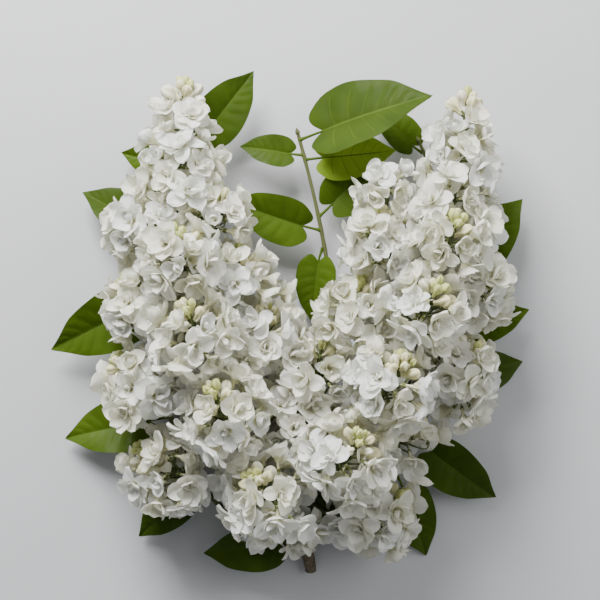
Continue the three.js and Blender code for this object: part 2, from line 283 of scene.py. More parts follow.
def tube(
    centres: Array,
    ways: Array,
    radii: Array,
    sides: int,
    guide: Array = UP,
    slot: int = 0,
    lobes: Array | None = None,
) -> Patch:
    """A round limb through rows of centres.

    Args:
        centres: one point a row.
        ways: one unit direction a row.
        radii: one radius a row.
        sides: points round each row.
        guide: direction that the first side leans to.
        slot: material slot of its faces.
        lobes: rows by sides of factors on the radius, or none.

    Returns:
        The patch, open at both ends.
    """
    first = unit(guide - ways * (ways @ guide)[:, None])
    second = np.cross(ways, first)
    angle = around(sides)
    spoke = first[:, None] * np.cos(angle)[None, :, None] + second[:, None] * np.sin(angle)[None, :, None]
    reach = radii[:, None] * (np.ones((1, sides)) if lobes is None else lobes)
    return grid(centres[:, None] + spoke * reach[..., None], slot, closed=True)


def limb(curve: Bezier, radii: tuple[float, float], rows: int, sides: int, slot: int = 0) -> Patch:
    """A tapering limb along a whole curve, closed to a point at both ends.

    Args:
        curve: its middle line.
        radii: its radius at the foot and at the end.
        rows: rings along it.
        sides: points round each ring.
        slot: material slot of its faces.

    Returns:
        The patch.
    """
    closed_radius, crown = 0.02, 0.4
    too_upright, slanting = 0.97, np.array([0.3, 0.95, 0.1])
    t = np.linspace(0, 1, rows + 1)
    centres, ways = curve.point(t), curve.tangent(t)
    centres = np.concatenate([centres[:1], centres, centres[-1:] + ways[-1:] * radii[1] * crown])
    ways = np.concatenate([ways[:1], ways, ways[-1:]])
    reach = np.concatenate([[closed_radius], mix(radii[0], radii[1], t), [closed_radius]])
    guide = UP if np.abs(ways @ UP).max() < too_upright else slanting
    return tube(centres, ways, reach, sides, guide, slot)


@dataclass
class Piece:
    """One kind of surface, gathered from patches and cut into objects below the face limit."""

    name: str
    slot: str
    materials: Materials
    patches: list[Patch] = field(default_factory=list)

    def add(self, *patches: Patch) -> None:
        """Adds patches."""
        self.patches.extend(patches)

    def build(self, nodes: Sequence[str] = ()) -> list[bpy.types.Object]:
        """Makes the objects.

        Args:
            nodes: frame nodes that they stand for.

        Returns:
            The objects, each riding on the body.
        """
        groups: list[list[Patch]] = [[]]
        count = 0
        for patch in self.patches:
            triangles = 2 * len(patch.quads)
            if groups[-1] and count + triangles > TRIANGLE_LIMIT:
                groups.append([])
                count = 0
            groups[-1].append(patch)
            count += triangles
        made = []
        for number, group in enumerate(groups, start=1):
            name = self.name if len(groups) == 1 else f"{self.name}_{number}"
            obj = self._object(name, joined(group))
            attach(obj, BODY)
            if nodes:
                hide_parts(*nodes)
            made.append(obj)
            log.info("%s: %d triangles", name, 2 * len(obj.data.polygons))
        return made

    def _object(self, name: str, patch: Patch) -> bpy.types.Object:
        """Makes one smooth-shaded object in metres.

        Args:
            name: its name.
            patch: its mesh.

        Returns:
            The object, in the scene.
        """
        mesh = bpy.data.meshes.new(name)
        mesh.vertices.add(len(patch.points))
        mesh.vertices.foreach_set("co", ((patch.points - MIDDLE) * MILLIMETRE).astype(np.float32).ravel())
        corners = patch.quads.ravel().astype(np.int32)
        mesh.loops.add(len(corners))
        mesh.loops.foreach_set("vertex_index", corners)
        mesh.polygons.add(len(patch.quads))
        mesh.polygons.foreach_set("loop_start", np.arange(0, len(corners), 4, dtype=np.int32))
        mesh.polygons.foreach_set("material_index", patch.slots.astype(np.int32))
        mesh.polygons.foreach_set("use_smooth", np.ones(len(patch.quads), bool))
        mesh.update(calc_edges=True)
        places = mesh.uv_layers.new(name="surface")
        places.data.foreach_set("uv", patch.uv[corners].astype(np.float32).ravel())
        mesh.validate()
        for material in self.materials:
            mesh.materials.append(material)
        obj = bpy.data.objects.new(name, mesh)
        bpy.context.scene.collection.objects.link(obj)
        return obj


# ---- Finishes ----


class NodeMaker:
    """Adds and joins nodes in one tree."""

    def __init__(self, tree: bpy.types.NodeTree) -> None:
        """Starts on a tree."""
        self.tree = tree

    def add(self, kind: str, **values: object) -> bpy.types.Node:
        """Adds a node.

        Args:
            kind: its type.
            values: plain values for its properties.

        Returns:
            The node.
        """
        node = self.tree.nodes.new(kind)
        for name, value in values.items():
            setattr(node, name, value)
        return node

    def join(self, source: bpy.types.NodeSocket, target: bpy.types.NodeSocket) -> None:
        """Joins two sockets."""
        self.tree.links.new(source, target)


def start_group(
    name: str, inputs: dict[str, float], outputs: Sequence[str]
) -> tuple[bpy.types.NodeTree, NodeMaker]:
    """A new shader node group with number sockets.

    Args:
        name: its name.
        inputs: names and usual values of its inputs.
        outputs: names of its outputs.

    Returns:
        The group and its node maker.
    """
    group = bpy.data.node_groups.new(name, "ShaderNodeTree")
    for label, value in inputs.items():
        socket = group.interface.new_socket(name=label, in_out="INPUT", socket_type="NodeSocketFloat")
        socket.default_value = value
    for label in outputs:
        group.interface.new_socket(name=label, in_out="OUTPUT", socket_type="NodeSocketFloat")
    return group, NodeMaker(group)


def mottle_group() -> bpy.types.NodeTree:
    """Makes uneven tone over a surface, and a fine grain for its relief.

    Returns:
        The node group.
    """
    inputs = {"Scale": 120.0, "Contrast": 2.0, "Grain Scale": 900.0}
    group, make = start_group("Mottle", inputs, ["Mask", "Grain"])
    given, out = make.add("NodeGroupInput"), make.add("NodeGroupOutput")
    place = make.add("ShaderNodeTexCoord")
    tone = make.add("ShaderNodeTexNoise")
    tone.inputs["Detail"].default_value = 4.0
    grain = make.add("ShaderNodeTexNoise")
    grain.inputs["Detail"].default_value = 2.0
    centred = make.add("ShaderNodeMath", operation="SUBTRACT")
    centred.inputs[1].default_value = 0.5
    scaled = make.add("ShaderNodeMath", operation="MULTIPLY")
    lifted = make.add("ShaderNodeMath", operation="ADD", use_clamp=True)
    lifted.inputs[1].default_value = 0.5
    make.join(place.outputs["Object"], tone.inputs["Vector"])
    make.join(place.outputs["Object"], grain.inputs["Vector"])
    make.join(given.outputs["Scale"], tone.inputs["Scale"])
    make.join(given.outputs["Grain Scale"], grain.inputs["Scale"])
    make.join(tone.outputs["Fac"], centred.inputs[0])
    make.join(centred.outputs[0], scaled.inputs[0])
    make.join(given.outputs["Contrast"], scaled.inputs[1])
    make.join(scaled.outputs[0], lifted.inputs[0])
    make.join(lifted.outputs[0], out.inputs["Mask"])
    make.join(grain.outputs["Fac"], out.inputs["Grain"])
    return group


def streak_group() -> bpy.types.NodeTree:
    """Makes fine lines that run the length of a petal, bud or limb.

    Returns:
        The node group.
    """
    group, make = start_group("Streaks", {"Count": 9.0, "Waver": 0.6}, ["Height"])
    given, out = make.add("NodeGroupInput"), make.add("NodeGroupOutput")
    place = make.add("ShaderNodeUVMap", uv_map="surface")
    wave = make.add("ShaderNodeTexWave", bands_direction="X")
    wave.inputs["Detail"].default_value = 1.5
    make.join(place.outputs["UV"], wave.inputs["Vector"])
    make.join(given.outputs["Count"], wave.inputs["Scale"])
    make.join(given.outputs["Waver"], wave.inputs["Distortion"])
    make.join(wave.outputs["Fac"], out.inputs["Height"])
    return group


@dataclass(frozen=True)
class PlantFinish:
    """A plant surface: two display colours that mottle into each other, its sheen and its relief."""

    name: str
    colour: Triple
    second: Triple
    roughness: float = 0.55
    tone_scale: float = 120.0
    contrast: float = 2.0
    grain_scale: float = 900.0
    grain: float = 0.15
    streaks: float = 0.0
    streak_count: float = 9.0
    relief: float = 0.0002
    passes: float = 0.0
    glow: Triple = (255, 255, 255)
    coat: float = 0.0
    shine: float = 0.5
    sheen_range: tuple[float, float] = (-0.06, 0.08)
    relief_strength: float = 0.8

    def build(self, groups: Groups) -> bpy.types.Material:
        """Makes the material.

        Args:
            groups: the shared node groups by name.

        Returns:
            The material.
        """
        material = bpy.data.materials.new(self.name)
        material.use_nodes = True
        make = NodeMaker(material.node_tree)
        shader = material.node_tree.nodes["Principled BSDF"]
        out = material.node_tree.nodes["Material Output"]
        mottle = make.add("ShaderNodeGroup", node_tree=groups["mottle"])
        mottle.inputs["Scale"].default_value = self.tone_scale
        mottle.inputs["Contrast"].default_value = self.contrast
        mottle.inputs["Grain Scale"].default_value = self.grain_scale
        colour = make.add("ShaderNodeMix", data_type="RGBA")
        colour.inputs[6].default_value = linear(self.colour)
        colour.inputs[7].default_value = linear(self.second)
        make.join(mottle.outputs["Mask"], colour.inputs[0])
        make.join(colour.outputs[2], shader.inputs["Base Color"])
        sheen = make.add("ShaderNodeMapRange")
        sheen.inputs["To Min"].default_value = self.roughness + self.sheen_range[0]
        sheen.inputs["To Max"].default_value = self.roughness + self.sheen_range[1]
        make.join(mottle.outputs["Mask"], sheen.inputs["Value"])
        make.join(sheen.outputs["Result"], shader.inputs["Roughness"])
        shader.inputs["Coat Weight"].default_value = self.coat
        shader.inputs["Specular IOR Level"].default_value = self.shine
        height = self._height(make, mottle, groups)
        bump = make.add("ShaderNodeBump")
        bump.inputs["Distance"].default_value = self.relief
        bump.inputs["Strength"].default_value = self.relief_strength
        make.join(height, bump.inputs["Height"])
        make.join(bump.outputs["Normal"], shader.inputs["Normal"])
        if self.passes:
            through = make.add("ShaderNodeBsdfTranslucent")
            through.inputs["Color"].default_value = linear(self.glow)
            both = make.add("ShaderNodeMixShader")
            both.inputs[0].default_value = self.passes
            make.join(shader.outputs[0], both.inputs[1])
            make.join(through.outputs[0], both.inputs[2])
            make.join(both.outputs[0], out.inputs["Surface"])
        return material

    def _height(self, make: NodeMaker, mottle: bpy.types.Node, groups: Groups) -> bpy.types.NodeSocket:
        """The relief: grain, and streaks where the finish has them.

        Args:
            make: adds nodes to the material.
            mottle: the material's mottle node.
            groups: the shared node groups by name.

        Returns:
            The socket that gives the height.
        """
        grain = make.add("ShaderNodeMath", operation="MULTIPLY")
        grain.inputs[1].default_value = self.grain
        make.join(mottle.outputs["Grain"], grain.inputs[0])
        if not self.streaks:
            return grain.outputs[0]
        lines = make.add("ShaderNodeGroup", node_tree=groups["streaks"])
        lines.inputs["Count"].default_value = self.streak_count
        both = make.add("ShaderNodeMath", operation="MULTIPLY_ADD")
        both.inputs[1].default_value = self.streaks
        make.join(lines.outputs["Height"], both.inputs[0])
        make.join(grain.outputs[0], both.inputs[2])
        return both.outputs[0]


class PetalSlot(IntEnum):
    """The material slots of a floret."""

    WHITE = 0
    COOL = 1
    CREAM = 2
    # the petals' feet: the throat's own cream-green, darkened further as painted shade in the floret's middle
    CLAW = 3
    TUBE = 4


class BudSlot(IntEnum):
    """The material slots of a bud."""

    CREAM = 0
    GREEN = 1
    PALE = 2


class TwigSlot(IntEnum):
    """The material slots of the green wood."""

    TWIG = 0
    CALYX = 1


class LeafSlot(IntEnum):
    """The material slots of a leaf."""

    FRESH = 0
    MID = 1
    DEEP = 2
    VEIN = 3
    UNDER = 4
    # a lighter leaf green, painted light that lifts a leaf lying in the shadow of the leaf above it
    BRIGHT = 5


class StemSlot(IntEnum):
    """The material slots of the woody stem."""

    BARK = 0
    LENTICEL = 1
    CUT_WOOD = 2
    PITH = 3


PETAL = PlantFinish(
    "petal_white",
    (243, 242, 237),
    (236, 235, 228),
    roughness=0.6,
    tone_scale=90,
    grain=0.2,
    streaks=0.5,
    streak_count=2.2,
    relief=0.00018,
    passes=0.33,
    glow=(242, 242, 222),
)
PETALS = (
    PETAL,
    replace(PETAL, name="petal_cool", colour=(241, 241, 241), second=(235, 236, 237)),
    replace(PETAL, name="petal_cream", colour=(240, 239, 228), second=(233, 232, 218)),
    # the petals' feet: partly the throat's own cream-green, partly painted shade that darkens the floret's
    # middle
    replace(PETAL, name="petal_claw", colour=(224, 222, 196), second=(212, 211, 178)),
    replace(PETAL, name="floret_tube", colour=(214, 212, 180), second=(196, 198, 152), passes=0.1),
)
BUD = replace(
    PETAL, name="bud_cream", colour=(226, 221, 183), second=(214, 210, 160), passes=0.08, glow=(225, 225, 170)
)
BUDS = (
    BUD,
    replace(BUD, name="bud_green", colour=(202, 205, 138), second=(180, 188, 112)),
    replace(BUD, name="bud_pale", colour=(234, 231, 212), second=(224, 222, 190)),
)
TWIG = PlantFinish(
    "twig_green",
    (88, 100, 46),
    (70, 82, 38),
    roughness=0.6,
    tone_scale=150,
    grain=0.4,
    streaks=0.3,
    streak_count=3.0,
    relief=0.0003,
)
TWIGS = (TWIG, replace(TWIG, name="calyx_green", colour=(124, 134, 72), second=(98, 108, 58)))
SHOOT = replace(
    TWIG, name="shoot_green", colour=(98, 108, 54), second=(84, 84, 48), tone_scale=60, relief=0.0005
)
LEAF = PlantFinish(
    "leaf_fresh",
    (92, 114, 24),
    (76, 99, 18),
    roughness=0.56,
    tone_scale=55,
    contrast=2.4,
    grain_scale=1500,
    grain=0.5,
    relief=0.0003,
    passes=0.16,
    glow=(150, 184, 24),
    coat=0.02,
    shine=0.1,
)
LEAVES = (
    LEAF,
    replace(LEAF, name="leaf_mid", colour=(76, 98, 20), second=(63, 84, 17)),
    replace(LEAF, name="leaf_deep", colour=(63, 83, 18), second=(52, 70, 15)),
    replace(
        LEAF, name="leaf_vein", colour=(73, 94, 25), second=(63, 82, 21), passes=0.0, coat=0.0, roughness=0.55
    ),
    replace(LEAF, name="leaf_under", colour=(98, 118, 62), second=(84, 104, 52), coat=0.0, roughness=0.6),
    # painted light: a lighter copy of the leaf green for a leaf that lies in the shadow of another
    replace(LEAF, name="leaf_bright", colour=(128, 154, 42), second=(110, 136, 32)),
)
BARK = PlantFinish(
    "bark",
    (110, 98, 78),
    (82, 74, 58),
    roughness=0.85,
    tone_scale=220,
    contrast=3.0,
    grain_scale=1300,
    grain=0.8,
    streaks=0.5,
    streak_count=6,
    relief=0.0007,
)
STEM_FINISHES = (
    BARK,
    replace(BARK, name="lenticel", colour=(150, 136, 108), second=(128, 114, 88)),
    replace(
        BARK, name="cut_wood", colour=(206, 192, 148), second=(186, 168, 122), roughness=0.7, relief=0.0003
    ),
    replace(BARK, name="pith", colour=(176, 156, 112), second=(150, 130, 92), roughness=0.8, relief=0.0003),
)


FLOOR = PlantFinish(
    "floor",
    (196, 197, 199),
    (192, 193, 195),
    roughness=0.8,
    tone_scale=6,
    contrast=1.0,
    grain_scale=300,
    grain=0.05,
    relief=0.0001,
)


@dataclass(frozen=True)
class Lamp:
    """A soft square light: its name, its place and size in metres, and its power in watts."""

    name: str
    place: Triple
    size: float
    power: float


@dataclass
class Studio:
    """The floor, the lights and the camera, in metres."""

    lamps: tuple[Lamp, ...] = (
        Lamp("key", (-0.27, 0.72, 0.60), 0.5, 26.4),
        Lamp("side", (0.75, 0.25, 0.70), 0.8, 5.5),
        Lamp("low", (-0.2, -0.9, 0.55), 0.9, 0.5),
    )
    air_colour: Triple = (241, 244, 250)
    air_strength: float = 0.25
    floor_half: float = 9.0
    aim: Triple = (0.0061, 0.0140, 0.0500)
    distance: float = 0.939
    lens: float = 100.0
    sensor: float = 36.0

    def build(self, groups: Groups) -> None:
        """Makes the floor, the lights, the air and the camera.

        Args:
            groups: the shared node groups by name.
        """
        self._floor(groups)
        for lamp in self.lamps:
            self._light(lamp)
        world = bpy.data.worlds.new("air")
        bpy.context.scene.world = world
        world.use_nodes = True
        air = world.node_tree.nodes["Background"]
        air.inputs["Color"].default_value = linear(self.air_colour)
        air.inputs["Strength"].default_value = self.air_strength
        self._camera()
        log.info("studio: %d lights", len(self.lamps))

    def _floor(self, groups: Groups) -> None:
        """Makes a plain pale floor with a faint grain.

        Args:
            groups: the shared node groups by name.
        """
        half = self.floor_half
        mesh = bpy.data.meshes.new("floor")
        corners = [(-half, -half, 0), (half, -half, 0), (half, half, 0), (-half, half, 0)]
        mesh.from_pydata(corners, [], [(0, 1, 2, 3)])
        mesh.materials.append(FLOOR.build(groups))
        floor = bpy.data.objects.new("floor", mesh)
        bpy.context.scene.collection.objects.link(floor)

    def _light(self, lamp: Lamp) -> None:
        """Makes a light that looks at the middle of the sprig.

        Args:
            lamp: what it is like.
        """
        light = bpy.data.lights.new(lamp.name, "AREA")
        light.energy = lamp.power
        light.size = lamp.size
        obj = bpy.data.objects.new(lamp.name, light)
        obj.location = lamp.place
        obj.rotation_euler = (Vector(self.aim) - Vector(lamp.place)).to_track_quat("-Z", "Y").to_euler()
        bpy.context.scene.collection.objects.link(obj)

    def _camera(self) -> None:
        """Makes a camera that looks straight down, with +Y towards the top of its view."""
        lens = bpy.data.cameras.new("camera")
        lens.lens = self.lens
        lens.sensor_width = self.sensor
        camera = bpy.data.objects.new("camera", lens)
        camera.location = Vector(self.aim) + Vector((0, 0, self.distance))
        bpy.context.scene.collection.objects.link(camera)
        bpy.context.scene.camera = camera


# ---- The woody stem ----


@dataclass(frozen=True)
class Bark:
    """The stem's relief, as shares of its radius, and its lenticels."""

    plate_waves: tuple[float, float] = (2.6, 5.0)  # across and along
    plate_height: float = 0.045
    plate_roughness: float = 0.9
    plate_finer: float = 2.0  # how much finer each layer is
    plate_layers: int = 4
    fissure_waves: tuple[float, float] = (4.5, 9.0)
    fissure_start: float = 7.0
    fissure_width: float = 0.16
    fissure_depth: float = 0.07
    lenticels: int = 26
    lenticel_length: float = 0.011
    lenticel_width: float = 0.2
    lenticel_height: float = 0.05
    lenticel_edge: float = 0.45
    lenticel_scatter: float = 0.3
    seed: int = 71

    def height(self, angle: float, along: float) -> float:
        """The height of the plates and fissures at a place.

        Args:
            angle: round the stem, in radians.
            along: share of the stem.

        Returns:
            The height as a share of the radius.
        """
        x, y = math.cos(angle), math.sin(angle)
        wide, long = self.plate_waves
        place = Vector((x * wide, y * wide, along * long))
        plates = noise.fractal(place, self.plate_roughness, self.plate_finer, self.plate_layers)
        wide, long = self.fissure_waves
        fissure = abs(noise.noise(Vector((x * wide, y * wide, along * long + self.fissure_start))))
        cut = max(0.0, self.fissure_width - fissure)
        return self.plate_height * plates - self.fissure_depth * cut / self.fissure_width

    def spots(self, t: Array, angle: Array) -> Array:
        """How much each place belongs to a lenticel.

        Args:
            t: shares of the stem.
            angle: angles round it.

        Returns:
            Rows by columns of shares.
        """
        stream = Stream(self.seed)
        spots = np.zeros((len(t), len(angle)))
        for i in range(self.lenticels):
            along = (i + 0.5) / self.lenticels
            turn = i * GOLDEN_TURN + stream.spread(self.lenticel_scatter)
            off = np.angle(np.exp(1j * (angle[None] - turn)))
            lengthwise = ((t[:, None] - along) / self.lenticel_length) ** 2
            spots += np.exp(-lengthwise - (off / self.lenticel_width) ** 2)
        return spots


@dataclass
class WoodyStem:
    """The cut stem, with a swollen node where two shoots leave it."""

    curve: Bezier = Bezier.of([6.4, -160, 3.8], [5.2, -148, 8.5], [0.5, -138, 18.5], [-2.5, -124, 25.5])
    radii: tuple[float, float] = (3.3, 4.3)
    node: float = 0.45
    swelling: float = 0.16
    swelling_length: float = 0.06
    rows: int = 130
    sides: int = 56
    bark: Bark = Bark()
    cut_shares: tuple[float, ...] = (1.0, 0.93, 0.88, 0.7, 0.5, 0.3, 0.2, 0.12, 0.004)
    cut_depths: tuple[float, ...] = (0.0, 0.12, 0.05, 0.09, 0.04, 0.1, 0.16, 0.2, 0.22)
    pith_rings: int = 3
    crown: float = 2.2
    crown_rings: int = 9
    least_share: float = 0.004

    def radius(self, t: float | Array) -> float | Array:
        """Radius at a share of the stem."""
        bulge = self.swelling * hump(t, self.node, self.swelling_length)
        return mix(self.radii[0], self.radii[1], t) * (1 + bulge)

    def build(self, materials: Materials) -> None:
        """Makes the bark with its relief, the cut end and the rounded top at the fork.

        Args:
            materials: by StemSlot.
        """
        piece = Piece("stem_bark", "bark", materials)
        t, angle = np.linspace(0, 1, self.rows + 1), around(self.sides)
        plates = np.array([[self.bark.height(a, along) for a in angle] for along in t])
        spots = self.bark.spots(t, angle)
        relief = plates + self.bark.lenticel_height * spots
        body = tube(self.curve.point(t), self.curve.tangent(t), self.radius(t), self.sides, lobes=1 + relief)
        on_lenticel = spots[:-1] > self.bark.lenticel_edge
        piece.add(body.dealt(np.where(on_lenticel, StemSlot.LENTICEL, StemSlot.BARK)))
        piece.add(self._cut_end(relief[0]), self._top(relief[-1]))
        piece.build(["woody_stem"])

    def _cut_end(self, edge: Array) -> Patch:
        """The cut face, with its bark edge, wood and pith.

        Args:
            edge: the bark's relief at the cut.

        Returns:
            The patch.
        """
        shares, depths = np.array(self.cut_shares), np.array(self.cut_depths)
        way, rows = self.curve.tangent(0.0), len(shares)
        centres = self.curve.point(0.0) + way * depths[:, None]
        lobes = 1 + edge[None] * shares[:, None] ** 2
        reach = self.radius(0.0) * shares
        face = tube(centres, straight(way, rows), reach, self.sides, slot=StemSlot.CUT_WOOD, lobes=lobes)
        slots = face.slots.reshape(rows - 1, self.sides).copy()
        slots[0] = StemSlot.BARK
        slots[-self.pith_rings :] = StemSlot.PITH
        return face.dealt(slots)

    def _top(self, edge: Array) -> Patch:
        """The stem's rounded top, between the feet of the two heads.

        Args:
            edge: the bark's relief at the top.

        Returns:
            The patch.
        """
        lean = np.linspace(0, math.pi / 2, self.crown_rings)
        way = self.curve.tangent(1.0)
        shares = np.maximum(np.cos(lean), self.least_share)
        centres = self.curve.point(1.0) + way * (self.crown * np.sin(lean))[:, None]
        lobes = 1 + edge[None] * shares[:, None] ** 2
        reach = self.radius(1.0) * shares
        return tube(centres, straight(way, self.crown_rings), reach, self.sides, lobes=lobes)


# ---- Leaves and shoots ----


@dataclass(frozen=True)
class Leaf:
    """One heart-shaped leaf, in millimetres and degrees; what a name calls a share is of its length."""

    at: float  # share of its limb
    heading: float
    rise: float
    length: float
    roll: float
    tone: LeafSlot = LeafSlot.FRESH
    width_share: float = 0.66
    widest: float = 1.96
    foot_width: float = 0.12
    fullness: tuple[float, float] = (0.45, 0.8)  # powers of its width towards the foot and the tip
    tip_from: float = 0.7
    least_width: float = 0.02
    drip_tip: float = 0.35
    foot_round: float = 0.16
    foot_narrowing: float = 0.22
    fold: float = 0.28
    fold_round: float = 0.6
    arch_share: float = 0.16
    lobe_share: float = 0.11
    lobe_round: float = 2.3
    edge_wave_share: float = 0.010
    edge_waves: float = 15  # radians along it
    swing_share: float = 0.012
    bend_share: float = 0.03
    pillow_share: float = 0.008
    pillow_between: tuple[float, float] = (0.25, 0.7)  # full between these shares of the half width
    pillow_round: float = 0.8
    veins: int = 8
    vein_share: float = 0.006
    vein_sweep: float = 0.2
    vein_reach: float = 0.72
    midrib_reach: float = 0.035
    midrib_groove: float = 0.35
    midrib_groove_width: float = 0.7
    midrib_drop: float = 0.45
    midrib_radii: tuple[float, float] = (0.62, 0.12)
    thickness: float = 0.5
    edge_thinning: float = 0.75
    half_columns: int = 9
    rows_between_veins: int = 4
    stalk_share: float = 0.22
    stalk_bend_share: float = 0.12
    stalk_heel: float = 0.4  # how deep its foot runs into the limb
    stalk_end: tuple[float, float] = (0.4, 0.3)  # past the blade's base, along and under it
    stalk_radii: tuple[float, float] = (0.9, 0.62)
    stalk_swelling: float = 0.5
    stalk_swelling_length: float = 0.12
    stalk_sides: int = 8
    stalk_rings: int = 15
    off_ground: float = 0.1

    def direction(self) -> Array:
        """Unit vector of its heading and rise."""
        h, r = math.radians(self.heading), math.radians(self.rise)
        return np.array([math.cos(h) * math.cos(r), math.sin(h) * math.cos(r), math.sin(r)])

    def width(self, s: Array) -> Array:
        """The blade's full width along it.

        Args:
            s: shares of the length.

        Returns:
            Shares of the greatest width.
        """
        at_foot, at_tip = self.fullness
        body = self.widest * (self.foot_width + s) ** at_foot * np.clip(1 - s, 0, 1) ** at_tip
        return np.maximum(self.least_width, body * (1 - self.drip_tip * smooth(self.tip_from, 1, s)))

    def patches(self, curve: Bezier, limb_radius: float, seed: int) -> list[Patch]:
        """Makes the stalk and the blade, clear of the ground.

        Args:
            curve: the limb that it grows on.
            limb_radius: the limb's radius there.
            seed: for its small unevenness.

        Returns:
            Its patches.
        """
        basis = self._basis()
        stalk, base = self._stalk(curve, limb_radius, basis)
        parts = [stalk] + [part.placed(basis, 1.0, base) for part in self._blade(seed)]
        lift = MIDDLE[2] + self.off_ground - min(part.lowest() for part in parts)
        return [part.raised(max(0.0, lift)) for part in parts]

    def _basis(self) -> Array:
        """The blade's own directions.

        Returns:
            Rows along, across and above it.
        """
        along = self.direction()
        level = unit(np.cross(UP, along))
        above = np.cross(along, level)
        roll = math.radians(self.roll)
        across = level * math.cos(roll) + above * math.sin(roll)
        return np.stack([along, across, np.cross(along, across)])

    def _stalk(self, curve: Bezier, limb_radius: float, basis: Array) -> tuple[Patch, Array]:
        """The stalk, whose foot stands just clear of the limb.

        Args:
            curve: the limb.
            limb_radius: the limb's radius there.
            basis: the blade's own directions.

        Returns:
            The patch, and the base of the blade.
        """
        direction, radius = self.direction(), self.stalk_radii[0]
        side, _ = sides_of(curve.tangent(self.at), direction)
        slant = math.sqrt(max(0.0, 1 - float(direction @ side) ** 2))
        foot = curve.point(self.at) + side * (limb_radius + CLEAR + slant * radius)
        base = foot + direction * self.length * self.stalk_share
        heel = foot - side * (CLEAR + radius + self.stalk_heel)
        bend = foot + direction * self.stalk_bend_share * self.length
        along, under = self.stalk_end
        line = Bezier.of(heel, bend, base + basis[0] * along - basis[2] * under)
        t = np.linspace(0, 1, self.stalk_rings)
        swell = 1 + self.stalk_swelling * hump(t, 0, self.stalk_swelling_length)
        reach = mix(*self.stalk_radii, t) * swell
        guide = level_guide(direction)
        return tube(line.point(t), line.tangent(t), reach, self.stalk_sides, guide, LeafSlot.VEIN), base

    def _blade(self, seed: int) -> list[Patch]:
        """The blade in its own directions.

        Args:
            seed: for its small unevenness.

        Returns:
            Its two faces, its edges and its midrib.
        """
        u, on_vein = self._rows()
        v = self._columns()
        across, along = np.meshgrid(v, u)
        s = np.clip(along + self.vein_sweep * np.abs(across) * np.sin(np.pi * along), 0, 1)
        middle = self._surface(s, across, along, seed)
        half = 0.5 * self.thickness * (1 - self.edge_thinning * np.abs(across) ** 8)
        lift = UP * half[..., None]
        uv = np.stack([0.5 + 0.5 * across, along], axis=-1)
        top = grid(middle + lift, self.tone, uv=uv)
        slots = top.slots.reshape(len(u) - 1, len(v) - 1).copy()
        outer = np.abs(0.5 * (v[1:] + v[:-1]))
        slots[on_vein[:-1][:, None] & (outer[None] < self.vein_reach)] = LeafSlot.VEIN
        slots[:, outer < self.midrib_reach] = LeafSlot.VEIN
        under = grid((middle - lift)[:, ::-1], LeafSlot.UNDER, uv=uv[:, ::-1])
        return [top.dealt(slots), under, *self._edges(middle + lift, middle - lift), self._midrib(middle, v)]

    def _surface(self, s: Array, across: Array, along: Array, seed: int) -> Array:
        """The blade's middle surface: folded, arched, waved at the edge and raised between the veins.

        Args:
            s: shares of the length.
            across: places from edge to edge.
            along: places by the rows, before the veins' sweep.
            seed: for its small unevenness.

        Returns:
            Rows by columns of points.
        """
        stream = Stream(seed * 7919 + 11)
        phase = RIPPLE_STARTS * stream()
        swing, bend = stream.spread(self.swing_share), stream.spread(self.bend_share)
        from_rib = np.abs(across)
        back = self.lobe_share * np.sin(self.lobe_round * from_rib) * (1 - s) ** 3
        x = self.length * (s - back)
        rounded = 1 - self.foot_narrowing * (1 - np.minimum(s / self.foot_round, 1)) ** 2
        y = 0.5 * self.width_share * self.length * self.width(s) * rounded * across
        z = self.fold * (np.sqrt(y**2 + self.fold_round**2) - self.fold_round)
        z = z - self.arch_share * self.length * s**2
        y = y + self.length * bend * s**2
        edge_wave = self.edge_wave_share * from_rib**3 * np.sin(self.edge_waves * s + phase)
        z = z + self.length * (edge_wave + swing * across * s)
        between = (along * self.veins) % 1.0
        full_from, full_to = self.pillow_between
        pillow = np.sin(np.pi * between) ** self.pillow_round * smooth(0, full_from, from_rib)
        pillow = pillow * (1 - smooth(full_to, 1, from_rib))
        z = z + self.pillow_share * self.length * pillow * np.sqrt(np.clip(self.width(s), 0, 1))
        z = z - self.midrib_groove * hump(y, 0, self.midrib_groove_width)
        return np.stack([x, y, z], axis=-1)

    def _rows(self) -> tuple[Array, Array]:
        """The rows of the blade, closer at the veins.

        Returns:
            Their places along the midrib, and which of them start a vein.
        """
        places, starts = [0.0], [False]
        for k in range(self.veins):
            if k:
                width = self.vein_share * (1 - 0.5 * k / self.veins)
                places.append(k / self.veins + width)
                starts[-1] = True
                starts.append(False)
            places += list(np.linspace(places[-1], (k + 1) / self.veins, self.rows_between_veins + 1)[1:])
            starts += [False] * self.rows_between_veins
        return np.array(places), np.array(starts)

    def _columns(self) -> Array:
        """Places of the columns from edge to edge, with a narrow pair at the midrib."""
        half = np.concatenate([[0.03], np.linspace(0.03, 1, self.half_columns)[1:]])
        return np.concatenate([-half[::-1], [0.0], half])

    def _edges(self, top: Array, under: Array) -> list[Patch]:
        """The thin edge all round the blade.

        Args:
            top: rows by columns of points on its upper face.
            under: the same on its lower face.

        Returns:
            The patches of its two sides and two ends.
        """
        sides = [(top[:, 0], under[:, 0]), (under[:, -1], top[:, -1])]
        ends = [(under[0], top[0]), (top[-1], under[-1])]
        return [grid(np.stack(ring), self.tone) for ring in sides + ends]

    def _midrib(self, middle: Array, v: Array) -> Patch:
        """The raised rib under the blade.

        Args:
            middle: the blade's middle surface.
            v: places of its columns.

        Returns:
            The patch.
        """
        line = middle[:, len(v) // 2] - UP * self.midrib_drop
        ways = unit(np.gradient(line, axis=0))
        reach = np.linspace(*self.midrib_radii, len(line))
        return tube(line, ways, reach, self.stalk_sides, UP, LeafSlot.VEIN)


